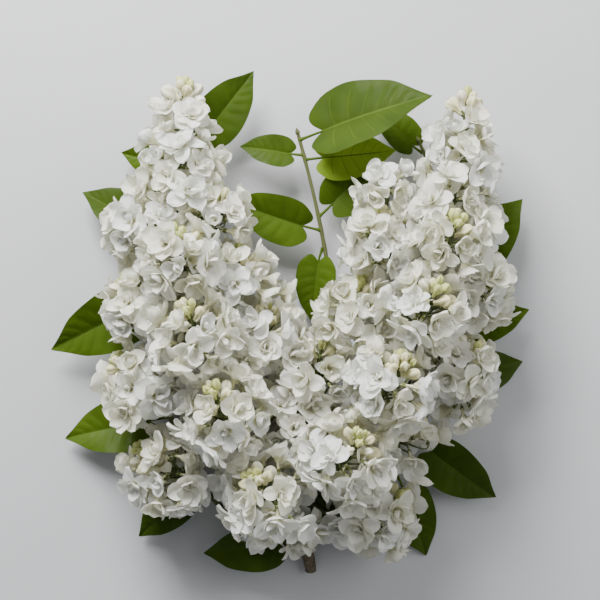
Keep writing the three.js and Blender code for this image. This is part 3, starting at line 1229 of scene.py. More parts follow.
@dataclass
class LeafyShoot:
    """A shoot that leaves the stem under the heads, with its leaves."""

    name: str
    on_stem: float
    controls: tuple[Triple, Triple, Triple]
    leaves: tuple[Leaf, ...]
    seed: int
    radii: tuple[float, float] = (1.9, 1.2)
    end_share: float = 0.75  # of the end radius, at the bud
    rows: int = 110
    sides: int = 14
    swelling: float = 0.22
    swelling_length: float = 0.012
    ribs: int = 4
    rib_height: float = 0.035
    collar: tuple[float, float] = (1.35, 1.22)
    collar_depth: float = 0.55
    collar_step: float = 0.6
    bud_length: float = 4.6
    bud_profile: tuple[float, ...] = (1.0, 1.25, 1.5, 1.55, 1.4, 1.12, 0.78, 0.4, 0.02)
    bud_sides: int = 12

    def curve(self, stem: WoodyStem) -> Bezier:
        """The shoot's curve, whose first end stands just clear of the stem's side.

        Args:
            stem: what it grows on.

        Returns:
            The curve.
        """
        node = stem.curve.point(self.on_stem)
        way = unit(np.array(self.controls[0]) - node)
        side, _ = sides_of(stem.curve.tangent(self.on_stem), way)
        slant = math.sqrt(1 - float(way @ side) ** 2)
        distance = float(stem.radius(self.on_stem)) + CLEAR + slant * self.radii[0]
        return Bezier.of(node + side * distance, *self.controls)

    def build(self, stem: WoodyStem, green: Materials, leaf: Materials) -> None:
        """Makes the shoot with its collar, nodes and end bud, and its leaves.

        Args:
            stem: what it grows on.
            green: the shoot's materials.
            leaf: the leaves' materials, by LeafSlot.
        """
        curve = self.curve(stem)
        limb_piece = Piece(self.name + "_limb", "green_stem", green)
        limb_piece.add(self._limb(curve, stem.curve.point(self.on_stem)), self._end_bud(curve))
        limb_piece.build([self.name])
        foliage = Piece(self.name + "_leaves", "leaf", leaf)
        for number, one in enumerate(self.leaves):
            foliage.add(*one.patches(curve, mix(*self.radii, one.at), number + self.seed))
        foliage.build([f"{self.name}_leaf_{n + 1}" for n in range(len(self.leaves))])

    def _limb(self, curve: Bezier, node: Array) -> Patch:
        """The ribbed limb, swollen at each leaf, with a collar that runs into the stem.

        Args:
            curve: its middle line.
            node: the middle of the stem where it grows.

        Returns:
            The patch.
        """
        t = np.linspace(0, 1, self.rows + 1)
        reach = mix(self.radii[0], self.end_share * self.radii[1], t)
        for leaf in self.leaves:
            reach = reach * (1 + self.swelling * hump(t, leaf.at, self.swelling_length))
        centres, ways = curve.point(t), curve.tangent(t)
        inner = mix(node, centres[0], self.collar_depth)
        centres = np.concatenate([[inner, mix(inner, centres[0], self.collar_step)], centres])
        ways = np.concatenate([straight(ways[0], 2), ways])
        reach = np.concatenate([np.array(self.collar) * reach[0], reach])
        ribs = self.rib_height * np.cos(self.ribs * around(self.sides))
        return tube(centres, ways, reach, self.sides, lobes=1 + np.tile(ribs, (len(centres), 1)))

    def _end_bud(self, curve: Bezier) -> Patch:
        """The pointed bud at the shoot's end.

        Args:
            curve: the shoot's curve.

        Returns:
            The patch.
        """
        rings, way = len(self.bud_profile), curve.tangent(1.0)
        reach = np.array(self.bud_profile) * self.end_share * self.radii[1]
        centres = curve.point(1.0) + way * (np.linspace(0, 1, rings) * self.bud_length)[:, None]
        return tube(centres, straight(way, rings), reach, self.bud_sides)


# ---- Florets and buds ----


class Opening(Enum):
    """How far a floret has opened."""

    FULL = "full"
    HALF = "half"
    YOUNG = "young"
    DEEP = "deep"


@dataclass(frozen=True)
class Whorl:
    """A ring of petals, in millimetres and degrees."""

    petals: int
    length: float
    width: float
    lean: float  # of the open petal from the floret's middle line
    cup: float  # how far its edges turn up, as a share of half its width
    curl: float  # how far its end turns back in
    foot: float  # distance of its claw from the middle line
    height: float  # of its claw above the throat
    rows: int
    columns: int
    turn: float


@dataclass(frozen=True)
class Unevenness:
    """How much petals and whorls differ, as shares of a size or in degrees, each way from the usual."""

    start: float = 14
    turn: float = 20
    skew: float = 0.17  # of a whorl's way, for each whorl further in
    shift: float = 0.45  # of a whorl's middle in millimetres, for each whorl further in
    length: float = 0.14
    width: float = 0.18
    lean: float = 27
    curl: float = 34
    cup: float = 0.5
    twist: float = 0.34
    least_ripple: float = 0.05
    ripple: float = 0.09
    sickle: float = 0.09
    point: float = 0.12


WHORLS: dict[Opening, tuple[Whorl, ...]] = {
    Opening.FULL: (
        Whorl(4, 15.2, 12.0, 86, 0.22, -6, 1.0, 0.0, 9, 8, 0),
        Whorl(4, 13.4, 10.6, 66, 0.28, 2, 0.9, 0.3, 8, 6, 45),
        Whorl(3, 10.8, 8.6, 50, 0.36, 16, 0.6, 0.6, 7, 5, 14),
        Whorl(3, 8.2, 6.6, 28, 0.44, 50, 0.3, 0.8, 6, 4, 60),
        Whorl(2, 6.4, 5.6, 12, 0.50, 70, 0.2, 0.8, 5, 4, 20),
    ),
    Opening.HALF: (
        Whorl(4, 14.6, 11.6, 70, 0.26, 0, 1.0, 0.0, 9, 8, 0),
        Whorl(4, 12.6, 10.0, 50, 0.32, 12, 0.9, 0.3, 8, 6, 45),
        Whorl(3, 10.0, 8.2, 32, 0.42, 34, 0.5, 0.6, 6, 5, 20),
        Whorl(2, 7.6, 6.4, 12, 0.50, 64, 0.2, 0.8, 5, 4, 50),
    ),
    Opening.YOUNG: (
        Whorl(4, 12.4, 10.4, 54, 0.38, 20, 1.0, 0.0, 7, 5, 0),
        Whorl(4, 10.2, 8.6, 34, 0.48, 44, 0.6, 0.3, 6, 5, 45),
        Whorl(2, 7.4, 6.4, 10, 0.50, 70, 0.2, 0.6, 5, 4, 10),
    ),
    Opening.DEEP: (
        Whorl(4, 14.4, 12.0, 76, 0.30, 4, 1.0, 0.0, 6, 4, 0),
        Whorl(4, 11.4, 9.6, 48, 0.40, 26, 0.8, 0.3, 5, 4, 45),
    ),
}


@dataclass(frozen=True)
class FloretForm:
    """One floret's petals and tube about its throat, in millimetres, with its own unevenness."""

    opening: Opening
    seed: int
    uneven: Unevenness = Unevenness()
    claw_lean: float = math.radians(12)
    # rows at each petal's foot that take the throat's cream-green with painted shade
    claw_and_shade_rows: int = 2
    fine_steps: int = 64
    rows_outward: float = 0.85  # power that draws the rows towards the end
    claw_width: float = 0.34
    widening: float = 0.66
    widest_at: float = 0.6
    rounded_from: float = 0.5
    rounding: float = 2.1
    least_width: float = 0.04
    leans_over: tuple[float, float] = (0.0, 0.42)  # shares of its length
    curls_over: tuple[float, float] = (0.45, 1.0)
    cups_over: tuple[float, float] = (0.0, 0.5)
    groove_over: tuple[float, float] = (0.05, 0.4)
    ripples: float = 3.1  # radians across half of it
    groove: float = 0.10
    groove_width: float = 0.22
    narrowing: float = 0.12
    point: float = 0.55
    tube_heights: tuple[float, ...] = (0.6, 0.0, -2.5, -5.0, -7.0)
    tube_radii: tuple[float, ...] = (1.5, 1.25, 0.92, 0.95, 0.75)
    tube_sides: int = 6

    def patch(self) -> Patch:
        """The whole floret, with its face towards +Z and its throat at the origin.

        Returns:
            The patch.
        """
        stream, uneven = Stream(self.seed), self.uneven
        parts = []
        for inward, whorl in enumerate(WHORLS[self.opening]):
            start = whorl.turn + stream.spread(uneven.start)
            way = unit(UP + uneven.skew * inward * np.array([stream.spread(1), stream.spread(1), 0.0]))
            basis = np.stack([*sides_of(way, ALONG_X), way])
            off = uneven.shift * inward * np.array([stream.spread(1), stream.spread(1), 0.0])
            for k in range(whorl.petals):
                turn = math.radians(start + 360 * k / whorl.petals + stream.spread(uneven.turn))
                parts.append(self._petal(whorl, turn, stream).placed(basis, 1.0, off))
        parts.append(self._tube())
        return joined(parts)

    def _petal(self, whorl: Whorl, turn: float, stream: Stream) -> Patch:
        """One petal: a spoon with a narrow claw, rolled edges and a faint point.

        Args:
            whorl: the ring that it belongs to.
            turn: its place round the floret, in radians.
            stream: gives its unevenness.

        Returns:
            The patch.
        """
        uneven = self.uneven
        length = whorl.length * (1 + stream.spread(uneven.length))
        width = whorl.width * (1 + stream.spread(uneven.width))
        lean = math.radians(whorl.lean + stream.spread(uneven.lean))
        curl = math.radians(whorl.curl + stream.spread(uneven.curl))
        cup = whorl.cup * (1 + stream.spread(uneven.cup))
        twist = stream.spread(uneven.twist)
        ripple, phase = uneven.least_ripple + uneven.ripple * stream(), RIPPLE_STARTS * stream()
        sickle = stream.spread(uneven.sickle) * length
        u = np.linspace(0, 1, whorl.rows + 1) ** self.rows_outward
        v = np.linspace(-1, 1, whorl.columns + 1)[None]
        at, out, rise = self._profile(u, length, lean, curl)
        half = 0.5 * width * self._outline(u, self.point + stream.spread(uneven.point))[:, None]
        u = u[:, None]
        raised = cup * half * v**2 * smooth(*self.cups_over, u)
        groove = self.groove * half * hump(v, 0, self.groove_width) * smooth(*self.groove_over, u)
        raised = raised - groove
        raised = raised + ripple * width * u**2 * np.sin(self.ripples * v + phase) * np.abs(v)
        raised = raised + twist * half * v * u
        side = half * v * (1 - self.narrowing * cup * v**2) + sickle * u**2
        radial = np.array([math.cos(turn), math.sin(turn), 0.0])
        points = (
            radial * (whorl.foot + out - raised * np.cos(at))[..., None]
            + np.cross(UP, radial) * side[..., None]
            + UP * (whorl.height + rise + raised * np.sin(at))[..., None]
        )
        petal = grid(points)
        slots = petal.slots.reshape(whorl.rows, whorl.columns).copy()
        # the foot rows: the throat's own cream-green, darker as painted shade deep in the floret
        slots[: self.claw_and_shade_rows] = PetalSlot.CLAW
        return petal.dealt(slots)

    def _profile(self, u: Array, length: float, lean: float, curl: float) -> tuple[Array, Array, Array]:
        """A petal's middle line, which leans out above its claw and curls at its end.

        Args:
            u: shares of its length.
            length: its length.
            lean: how far it leans from upright, in radians.
            curl: how far its end turns back, in radians.

        Returns:
            Columns of its lean, its distance outwards and its height.
        """
        fine = np.linspace(0, 1, self.fine_steps + 1)
        start = self.claw_lean if lean > 0.5 else 0.5 * lean
        leaning, curling = smooth(*self.leans_over, fine), smooth(*self.curls_over, fine)
        angle = start + (lean - start) * leaning - curl * curling
        step = length / self.fine_steps

        def summed(way: Array) -> Array:
            """The distance gone at each of the fine steps."""
            return np.concatenate([[0], np.cumsum(0.5 * step * (way[1:] + way[:-1]))])

        lines = (angle, summed(np.sin(angle)), summed(np.cos(angle)))
        at, out, rise = (np.interp(u, fine, line)[:, None] for line in lines)
        return at, out, rise

    def _outline(self, u: Array, point: float) -> Array:
        """Half width along a petal.

        Args:
            u: shares of its length.
            point: how sharp its end is.

        Returns:
            Shares of the greatest half width.
        """
        body = self.claw_width + self.widening * smooth(0, self.widest_at, u)
        past = np.clip((u - self.rounded_from) / (1 - self.rounded_from), 0, 1)
        return np.maximum(self.least_width, body * (1 - past**self.rounding) ** point)

    def _tube(self) -> Patch:
        """The slender tube behind the petals.

        Returns:
            The patch.
        """
        z = np.array(self.tube_heights)
        centres, ways = UP * z[:, None], straight(-UP, len(z))
        return tube(centres, ways, np.array(self.tube_radii), self.tube_sides, ALONG_X, PetalSlot.TUBE)


@dataclass(frozen=True)
class Floret:
    """One floret's place: its root on a branch, its middle, the way it faces and its size and turn."""

    root: Array
    centre: Array
    facing: Array
    scale: float = 1.0
    turn: float = 0.0
    depth: float = 0.0  # inside the head's outline
    throat_depth: float = 3.6
    tube_length: float = 7.0
    shortest_stalk: float = 0.8
    stalk_bend: float = 6.0
    stalk_radii: tuple[float, float] = (0.62, 0.42)
    stalk_rings: int = 5
    stalk_sides: int = 5
    calyx_length: float = 2.6
    calyx_heights: tuple[float, ...] = (0.0, 0.3, 0.7, 1.0)  # shares of its length
    calyx_radii: tuple[float, ...] = (0.45, 1.0, 1.2, 1.3)
    calyx_teeth: int = 4
    calyx_rim: tuple[float, float] = (1.3, 0.85)  # at a tooth and between teeth

    def basis(self) -> Array:
        """Rows of its first and second side, and its facing."""
        guide = turned(self.facing, level_guide(self.facing), self.turn)
        return np.stack([*sides_of(self.facing, guide), self.facing])

    def throat(self) -> Array:
        """Where its petals leave its tube."""
        return self.centre - self.facing * self.throat_depth * self.scale

    def stalk(self) -> list[Patch]:
        """Its green stalk and the calyx at the foot of its tube.

        Returns:
            The patches, or none where it sits on its branch.
        """
        end = self.throat() - self.facing * self.tube_length * self.scale
        gap = np.linalg.norm(end - self.root)
        if gap < self.shortest_stalk:
            return []
        curve = Bezier.of(self.root, end - self.facing * min(0.5 * gap, self.stalk_bend), end)
        t = np.linspace(0, 1, self.stalk_rings)
        guide = self.basis()[0]
        reach = np.linspace(*self.stalk_radii, self.stalk_rings)
        stalk = tube(curve.point(t), curve.tangent(t), reach, self.stalk_sides, guide, TwigSlot.TWIG)
        rings = len(self.calyx_heights)
        centres = end + self.facing * (self.calyx_length * np.array(self.calyx_heights))[:, None]
        lobes = np.ones((rings, 2 * self.calyx_teeth))
        lobes[-1] = np.array(self.calyx_rim * self.calyx_teeth)
        reach = np.array(self.calyx_radii) * self.scale
        ways, sides = straight(self.facing, rings), 2 * self.calyx_teeth
        return [stalk, tube(centres, ways, reach, sides, guide, TwigSlot.CALYX, lobes)]


@dataclass(frozen=True)
class BudForm:
    """A closed bud that grows along +Z from its foot: a slender tube that swells to a lobed head."""

    lobes: int
    slot: BudSlot
    plump: float
    heights: tuple[float, ...] = (0.0, 2.4, 3.8, 5.0, 6.4, 7.9, 9.2, 10.1, 10.6, 10.5)
    radii: tuple[float, ...] = (0.8, 1.0, 1.5, 2.3, 2.85, 2.9, 2.4, 1.6, 0.8, 0.05)
    sides: int = 20
    twist: float = 0.11  # radians for each millimetre
    pinch: float = 0.38
    swirl: float = 0.08
    swirl_turn: float = 0.8
    crease: int = 5  # power: how sharp the line between two lobes is
    lobed_over: tuple[float, float] = (3.0, 6.5)
    head_from: float = 3.5

    def patch(self) -> Patch:
        """Makes the bud.

        Returns:
            The patch.
        """
        z = np.array(self.heights)
        angle = around(self.sides)[None] + self.twist * z[:, None]
        depth = smooth(*self.lobed_over, z)[:, None]
        pinched = 1 - self.pinch * depth * np.abs(np.sin(0.5 * self.lobes * angle)) ** self.crease
        swirled = 1 + self.swirl * depth * np.cos(self.lobes * angle + self.swirl_turn)
        reach = np.array(self.radii) * np.where(z > self.head_from, self.plump, 1.0)
        ways = straight(UP, len(z))
        return tube(UP * z[:, None], ways, reach, self.sides, ALONG_X, self.slot, pinched * swirled)


# ---- Flower heads ----


class Side(Enum):
    """Which way a branch leaves the axis of a head."""

    TIP = "tip"
    UPPER = "upper"
    OUTER = "outer"
    INNER = "inner"
    LOWER = "lower"


@dataclass
class Cluster:
    """One branch of a head with its mound of florets and its knot of buds."""

    name: str
    side: Side
    curve: Bezier
    guide: Array
    radii: tuple[float, float]
    mound_radius: float
    seed: int
    mound_at: float = 0.8
    mound_edge: float = math.radians(118)
    mound_florets: int = 19
    mound_first: float = 0.7
    mound_rooted: tuple[float, float] = (0.95, 0.45)
    tip_florets: int = 34
    tip_reach: tuple[float, float] = (25.0, 11.0)
    tip_rooted: tuple[float, float] = (0.05, 1.0)
    tip_lean: tuple[float, float] = (math.radians(76), math.radians(22))
    uneven_reach: float = 2.4
    uneven_facing: float = 0.3
    rim: float = -1.4
    crown: float = 2.4
    solid_radius: float = 13.6
    solid_sizes: tuple[float, float] = (1.0, 0.8)
    solid_turns: Triple = (0.0, math.radians(30), math.radians(60))
    smaller_scale: float = 0.9
    near_enough: float = 0.15
    knot_ahead: float = 8.0

    def middle(self) -> Array:
        """The middle of its mound."""
        return self.curve.point(self.mound_at)

    def knot(self) -> Array:
        """The middle of its knot of buds."""
        return self.curve.point(1.0) + self.curve.tangent(1.0) * self.knot_ahead

    def places(self) -> Iterator[Floret]:
        """Every place that the frame's rule tries for a floret.

        Yields:
            The florets' places, in the frame's order.
        """
        random = Stream(self.seed)
        phase = FULL_TURN * random()
        if self.side is Side.TIP:
            for i in range(self.tip_florets):
                share = (i + 0.5) / self.tip_florets
                root = self.curve.point(mix(*self.tip_rooted, share))
                angle = mix(*self.tip_lean, share * share)
                way = splayed(self.curve.tangent(share), self.guide, angle, phase + i * GOLDEN_TURN)
                yield self._place(root, root, way, mix(*self.tip_reach, share), random)
            return
        for i in range(self.mound_florets):
            share = (i + self.mound_first) / self.mound_florets
            angle = math.acos(1 - (1 - math.cos(self.mound_edge)) * share)
            way = splayed(self.curve.tangent(1.0), self.guide, angle, phase + i * GOLDEN_TURN)
            root = self.curve.point(mix(*self.mound_rooted, share))
            yield self._place(root, self.middle(), way, self.mound_radius, random)

    def _place(self, root: Array, start: Array, way: Array, distance: float, random: Stream) -> Floret:
        """A floret's place, with its distance and its facing varied a little.

        Args:
            root: where it grows from.
            start: where its distance is measured from.
            way: the way from there.
            distance: the usual distance.
            random: gives the variation.

        Returns:
            The place.
        """
        reach = distance + self.uneven_reach * (random() - 0.5)
        nudge = np.array([random() - 0.5, random() - 0.5, random() - 0.5])
        return Floret(root, start + way * reach, unit(way + self.uneven_facing * nudge))

    def florets(self) -> tuple[list[Floret], list[Floret]]:
        """Sorts the rule's places by the frame's own corners.

        Returns:
            The florets that the frame has for this branch, and the places that it left empty.
        """
        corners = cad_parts[self.name].data.vertices
        tree = KDTree(len(corners))
        for index, corner in enumerate(corners):
            tree.insert(corner.co, index)
        tree.balance()

        def meets(point: Array) -> bool:
            """True if the frame has a corner at a point."""
            return tree.find(Vector((point - MIDDLE) * MILLIMETRE))[2] < self.near_enough * MILLIMETRE

        found, empty = [], []
        for place in self.places():
            if not meets(place.centre + place.facing * self.crown):
                empty.append(place)
                continue
            fits = [
                (size, turn)
                for size in self.solid_sizes
                for turn in self.solid_turns
                if meets(self._corner(replace(place, turn=turn), size))
            ]
            size, turn = fits[0] if fits else (self.solid_sizes[1], 0.0)
            scale = 1.0 if size == self.solid_sizes[0] else self.smaller_scale
            found.append(replace(place, scale=scale, turn=turn))
        return found, empty

    def _corner(self, place: Floret, size: float) -> Array:
        """The first rim corner of a floret's solid."""
        return place.centre + place.facing * self.rim + place.basis()[0] * size * self.solid_radius


Grown = tuple[Cluster, Floret]  # a floret and the branch that it grows on


@dataclass(frozen=True)
class Ball:
    """A sphere in laid-out millimetres."""

    centre: Triple
    radius: float


@dataclass
class FlowerHead:
    """A head of double florets on a green axis, with tiers of paired branches and a tip."""

    name: str
    axis: Bezier
    outward: float
    first_is_upright: bool
    outer_lengths: tuple[float, ...]  # for each tier, as shares of the rule's length
    inner_lengths: tuple[float, ...]
    seed: int
    bulges: tuple[Ball, ...]  # beside the mounds, filled by the finer twigs
    axis_radii: tuple[float, float] = (2.1, 1.1)
    tiers: int = 8
    first_tier: float = 0.03
    tier_step: float = 0.0975
    tier_closing: float = 0.0008
    tip_starts: float = 0.735
    branch_length: float = 54.0
    branch_profile: float = 1.7
    branch_rise: float = math.radians(38)
    branch_outset: float = 0.55
    branch_radii: tuple[float, float] = (1.7, 1.4)
    tip_radii: tuple[float, float] = (1.5, 1.2)
    lowest_branch_end: float = 14.0
    shortest_branch: float = 5.0
    mound_radii: tuple[float, float] = (24.0, 17.0)

    def tier(self, k: int) -> float:
        """The place of a tier on the axis."""
        return self.first_tier + self.tier_step * k - self.tier_closing * k * k

    def clusters(self) -> list[Cluster]:
        """Makes its branches by the frame's rule.

        Returns:
            The branches, tier by tier, and the tip.
        """
        made: list[Cluster] = []
        for k in range(self.tiers):
            t = self.tier(k)
            upward, sideways = sides_of(self.axis.tangent(t), UP)
            if (k % 2 == 0) == self.first_is_upright:
                sides = [(Side.UPPER, upward), (Side.LOWER, -upward)]
            else:
                sides = [(Side.OUTER, sideways * self.outward), (Side.INNER, -sideways * self.outward)]
            for side, out in sides:
                length = self._length(k, side)
                if length >= self.shortest_branch:
                    made.append(self._branch(k, side, out, length, self.seed + len(made)))
        start = self.axis.point(self.tip_starts) + self.axis.tangent(self.tip_starts) * CLEAR
        curve = Bezier.of(start, self.axis.point((self.tip_starts + 1) / 2), self.axis.point(1.0))
        name = f"{self.name}_cluster_tip"
        made.append(Cluster(name, Side.TIP, curve, UP, self.tip_radii, 0.0, self.seed + len(made)))
        return made

    def _length(self, k: int, side: Side) -> float:
        """The length of a tier's branch on one side of the axis.

        Args:
            k: number of the tier, from 0.
            side: which side.

        Returns:
            The length in millimetres.
        """
        t = self.tier(k)
        full = self.branch_length * (1 - t**self.branch_profile)
        if side is Side.LOWER:
            drop = float(self.axis.point(t)[2] - self.lowest_branch_end)
            return min(full, drop / math.cos(self.branch_rise))
        if side is Side.OUTER and k < len(self.outer_lengths):
            return full * self.outer_lengths[k]
        if side is Side.INNER and k < len(self.inner_lengths):
            return full * self.inner_lengths[k]
        return full

    def _branch(self, k: int, side: Side, out: Array, length: float, seed: int) -> Cluster:
        """One side branch of a tier.

        Args:
            k: number of the tier, from 0.
            side: which side it grows on.
            out: the way out on that side.
            length: its length.
            seed: for its florets.

        Returns:
            The branch.
        """
        t = self.tier(k)
        foot = self.axis.point(t) + out * (mix(*self.axis_radii, t) + CLEAR)
        bend = foot + out * self.branch_outset * length
        rise = self.axis.tangent(t) * length * math.sin(self.branch_rise)
        curve = Bezier.of(foot, bend, foot + out * length * math.cos(self.branch_rise) + rise)
        name = f"{self.name}_cluster_{k + 1}_{side.value}"
        radius = mix(*self.mound_radii, t)
        return Cluster(name, side, curve, self.axis.tangent(t), self.branch_radii, radius, seed)


HEADS = (
    FlowerHead(
        "left",
        Bezier.of([-6, -124, 26.3], [-56, -52, 52], [-77, 28, 53], [-66, 114, 45]),
        outward=-1.0,
        first_is_upright=True,
        outer_lengths=(1, 1.15, 1, 1.15),
        inner_lengths=(1, 0.8),
        seed=1100,
        bulges=(Ball((-13, 3, 46), 11),),
    ),
    FlowerHead(
        "right",
        Bezier.of([1.4, -121.8, 27.2], [46, -58, 52], [90, 14, 53], [93.6, 107, 45]),
        outward=1.0,
        first_is_upright=False,
        outer_lengths=(0.85, 1, 0.6),
        inner_lengths=(0, 1, 1, 1, 1.05, 1, 1.4),
        seed=2300,
        bulges=(Ball((50, 62, 46), 16), Ball((92, -57, 42), 15)),
    ),
)


@dataclass(frozen=True)
class Clearing:
    """A round place in plan where a head is open, and its stalks and the leaves under it show."""

    x: float
    y: float
    radius: float

    def holds(self, point: Array) -> bool:
        """True if a point is inside it in plan."""
        return math.hypot(point[0] - self.x, point[1] - self.y) < self.radius


CLEARINGS = (
    Clearing(14, -114, 17),
    Clearing(68, -93, 13),
    Clearing(-84, -70, 10),
    Clearing(-66, 77, 7),
    Clearing(82, 66, 6),
)


@dataclass
class Neighbours:
    """The leaves, shoots and stem that florets keep clear of."""

    tree: BVHTree

    @staticmethod
    def of_frame() -> "Neighbours":
        """Gathers them from the frame.

        Returns:
            The neighbours of both heads.
        """
        points, faces = [], []
        for name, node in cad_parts.items():
            if "cluster" in name:
                continue
            start = len(points)
            points += [v.co / MILLIMETRE for v in node.data.vertices]
            faces += [[start + v for v in p.vertices] for p in node.data.polygons]
        return Neighbours(BVHTree.FromPolygons(points, faces))

    def gap(self, point: Array) -> float:
        """Distance from a laid-out point to the nearest of them."""
        return self.tree.find_nearest(Vector(point - MIDDLE))[3]


@dataclass(frozen=True)
class Bloom:
    """A floret as it is set, with its branch and its petals."""

    cluster: Cluster
    floret: Floret
    petals: Patch


@dataclass
class Filling:
    """Finds room in a head for smaller florets between and behind the frame's own, in millimetres."""

    head: FlowerHead
    clusters: Sequence[Cluster]
    near: Neighbours
    spacing: float = 12.3
    closer: float = 0.86  # share of the spacing at the frame's own places
    insets: tuple[float, float] = (1.5, 4.0)
    inset_scale: float = 0.84
    shell: float = 13.0
    tries: int = 26_000
    clear_of_leaves: float = 9.0
    clear_of_buds: float = 13.0
    lowest: float = 11.0
    scale: float = 0.92
    deeper_is_smaller: float = 0.012
    tip_balls: int = 9
    tip_radii: tuple[float, float] = (24.0, 10.0)
    axis_balls: int = 12
    axis_reach: tuple[float, float] = (0.04, 0.74)
    axis_radii: tuple[float, float] = (27.0, 17.0)
    behind: float = 10.0
    tip_ahead: float = 4.0
    least_reach: float = 2.0
    to_outline: float = 1.3  # power that draws the tries towards the outline
    margin: float = 6.0  # outside a sphere, where it still turns a floret outwards
    own_way: float = 0.35
    rooted: tuple[float, float] = (0.15, 1.0)
    root_steps: int = 14
    seed_step: int = 77

    def florets(self, kept: Sequence[Grown], empty: Sequence[Grown]) -> list[Grown]:
        """Fills the head.

        Args:
            kept: the frame's florets.
            empty: the rule's places that have no solid.

        Returns:
            The added florets.
        """
        balls = self._balls()
        knots = np.array([cluster.knot() for cluster in self.clusters])
        centres = [floret.centre for _, floret in kept]
        added: list[Grown] = []
        stream = Stream(self.head.seed + self.seed_step)
        for cluster, place in empty:
            for inset in self.insets:
                centre = place.centre - place.facing * inset
                if self._free(centre, knots, centres, self.closer * self.spacing):
                    centres.append(centre)
                    turn = stream.spread(ANY_TURN)
                    smaller = replace(place, centre=centre, scale=self.inset_scale, turn=turn)
                    added.append((cluster, smaller))
                    break
        for _ in range(self.tries):
            ball = balls[int(stream() * len(balls))]
            way = unit(np.array([stream.spread(1), stream.spread(1), stream.spread(1)]) + 1e-9)
            inward = self.shell * stream() ** self.to_outline
            point = ball[:3] + way * max(self.least_reach, ball[3] - inward)
            depth = float((balls[:, 3] - np.linalg.norm(balls[:, :3] - point, axis=1)).max())
            if depth > self.shell or not self._free(point, knots, centres, self.spacing):
                continue
            facing = self._outward(point, balls, way)
            cluster, root = self._nearest(point - facing * self.behind)
            scale = self.scale - self.deeper_is_smaller * depth
            centres.append(point)
            added.append((cluster, Floret(root, point, facing, scale, stream.spread(ANY_TURN), depth)))
        return added

    def _free(self, point: Array, knots: Array, centres: Sequence[Array], spacing: float) -> bool:
        """Tells whether a floret has room.

        Args:
            point: its middle.
            knots: the middle of each knot of buds.
            centres: the middles of the florets that stand already.
            spacing: the least distance from them.

        Returns:
            True if it is also clear of the ground, the clearings, the buds and the leaves.
        """
        if point[2] < self.lowest or any(clearing.holds(point) for clearing in CLEARINGS):
            return False
        if np.min(np.linalg.norm(knots - point, axis=1)) < self.clear_of_buds:
            return False
        if np.min(np.linalg.norm(np.array(centres) - point, axis=1)) < spacing:
            return False
        return self.near.gap(point) > self.clear_of_leaves

    def _balls(self) -> Array:
        """Spheres that together make the head's outline.

        Returns:
            Rows of centre and radius.
        """
        rows = [[*bulge.centre, bulge.radius] for bulge in self.head.bulges]
        for cluster in self.clusters:
            if cluster.side is not Side.TIP:
                rows.append([*cluster.middle(), cluster.mound_radius])
                continue
            for share in np.linspace(0, 1, self.tip_balls):
                centre = cluster.curve.point(share) + cluster.curve.tangent(share) * self.tip_ahead
                rows.append([*centre, mix(*self.tip_radii, share)])
        for t in np.linspace(*self.axis_reach, self.axis_balls):
            rows.append([*self.head.axis.point(t), mix(*self.axis_radii, t)])
        return np.array(rows)

    def _outward(self, point: Array, balls: Array, way: Array) -> Array:
        """The way out of the head at a point: away from the spheres that hold it.

        Args:
            point: where the floret is.
            balls: rows of centre and radius.
            way: the way from the sphere that it was tried on.

        Returns:
            The unit direction.
        """
        off = point - balls[:, :3]
        distance = np.linalg.norm(off, axis=1)
        weight = np.clip(balls[:, 3] + self.margin - distance, 0, None)
        away = (off / distance[:, None] * weight[:, None]).sum(0)
        return unit(away + self.own_way * way * weight.max())

    def _nearest(self, point: Array) -> tuple[Cluster, Array]:
        """The branch whose wood is nearest to a point.

        Args:
            point: a place behind a floret.

        Returns:
            The branch, and the place on it.
        """
        share = np.linspace(*self.rooted, self.root_steps)
        options = []
        for cluster in self.clusters:
            line = cluster.curve.point(share)
            gaps = np.linalg.norm(line - point, axis=1)
            options.append((gaps.min(), cluster, line[int(gaps.argmin())]))
        _, cluster, root = min(options, key=lambda option: option[0])
        return cluster, root


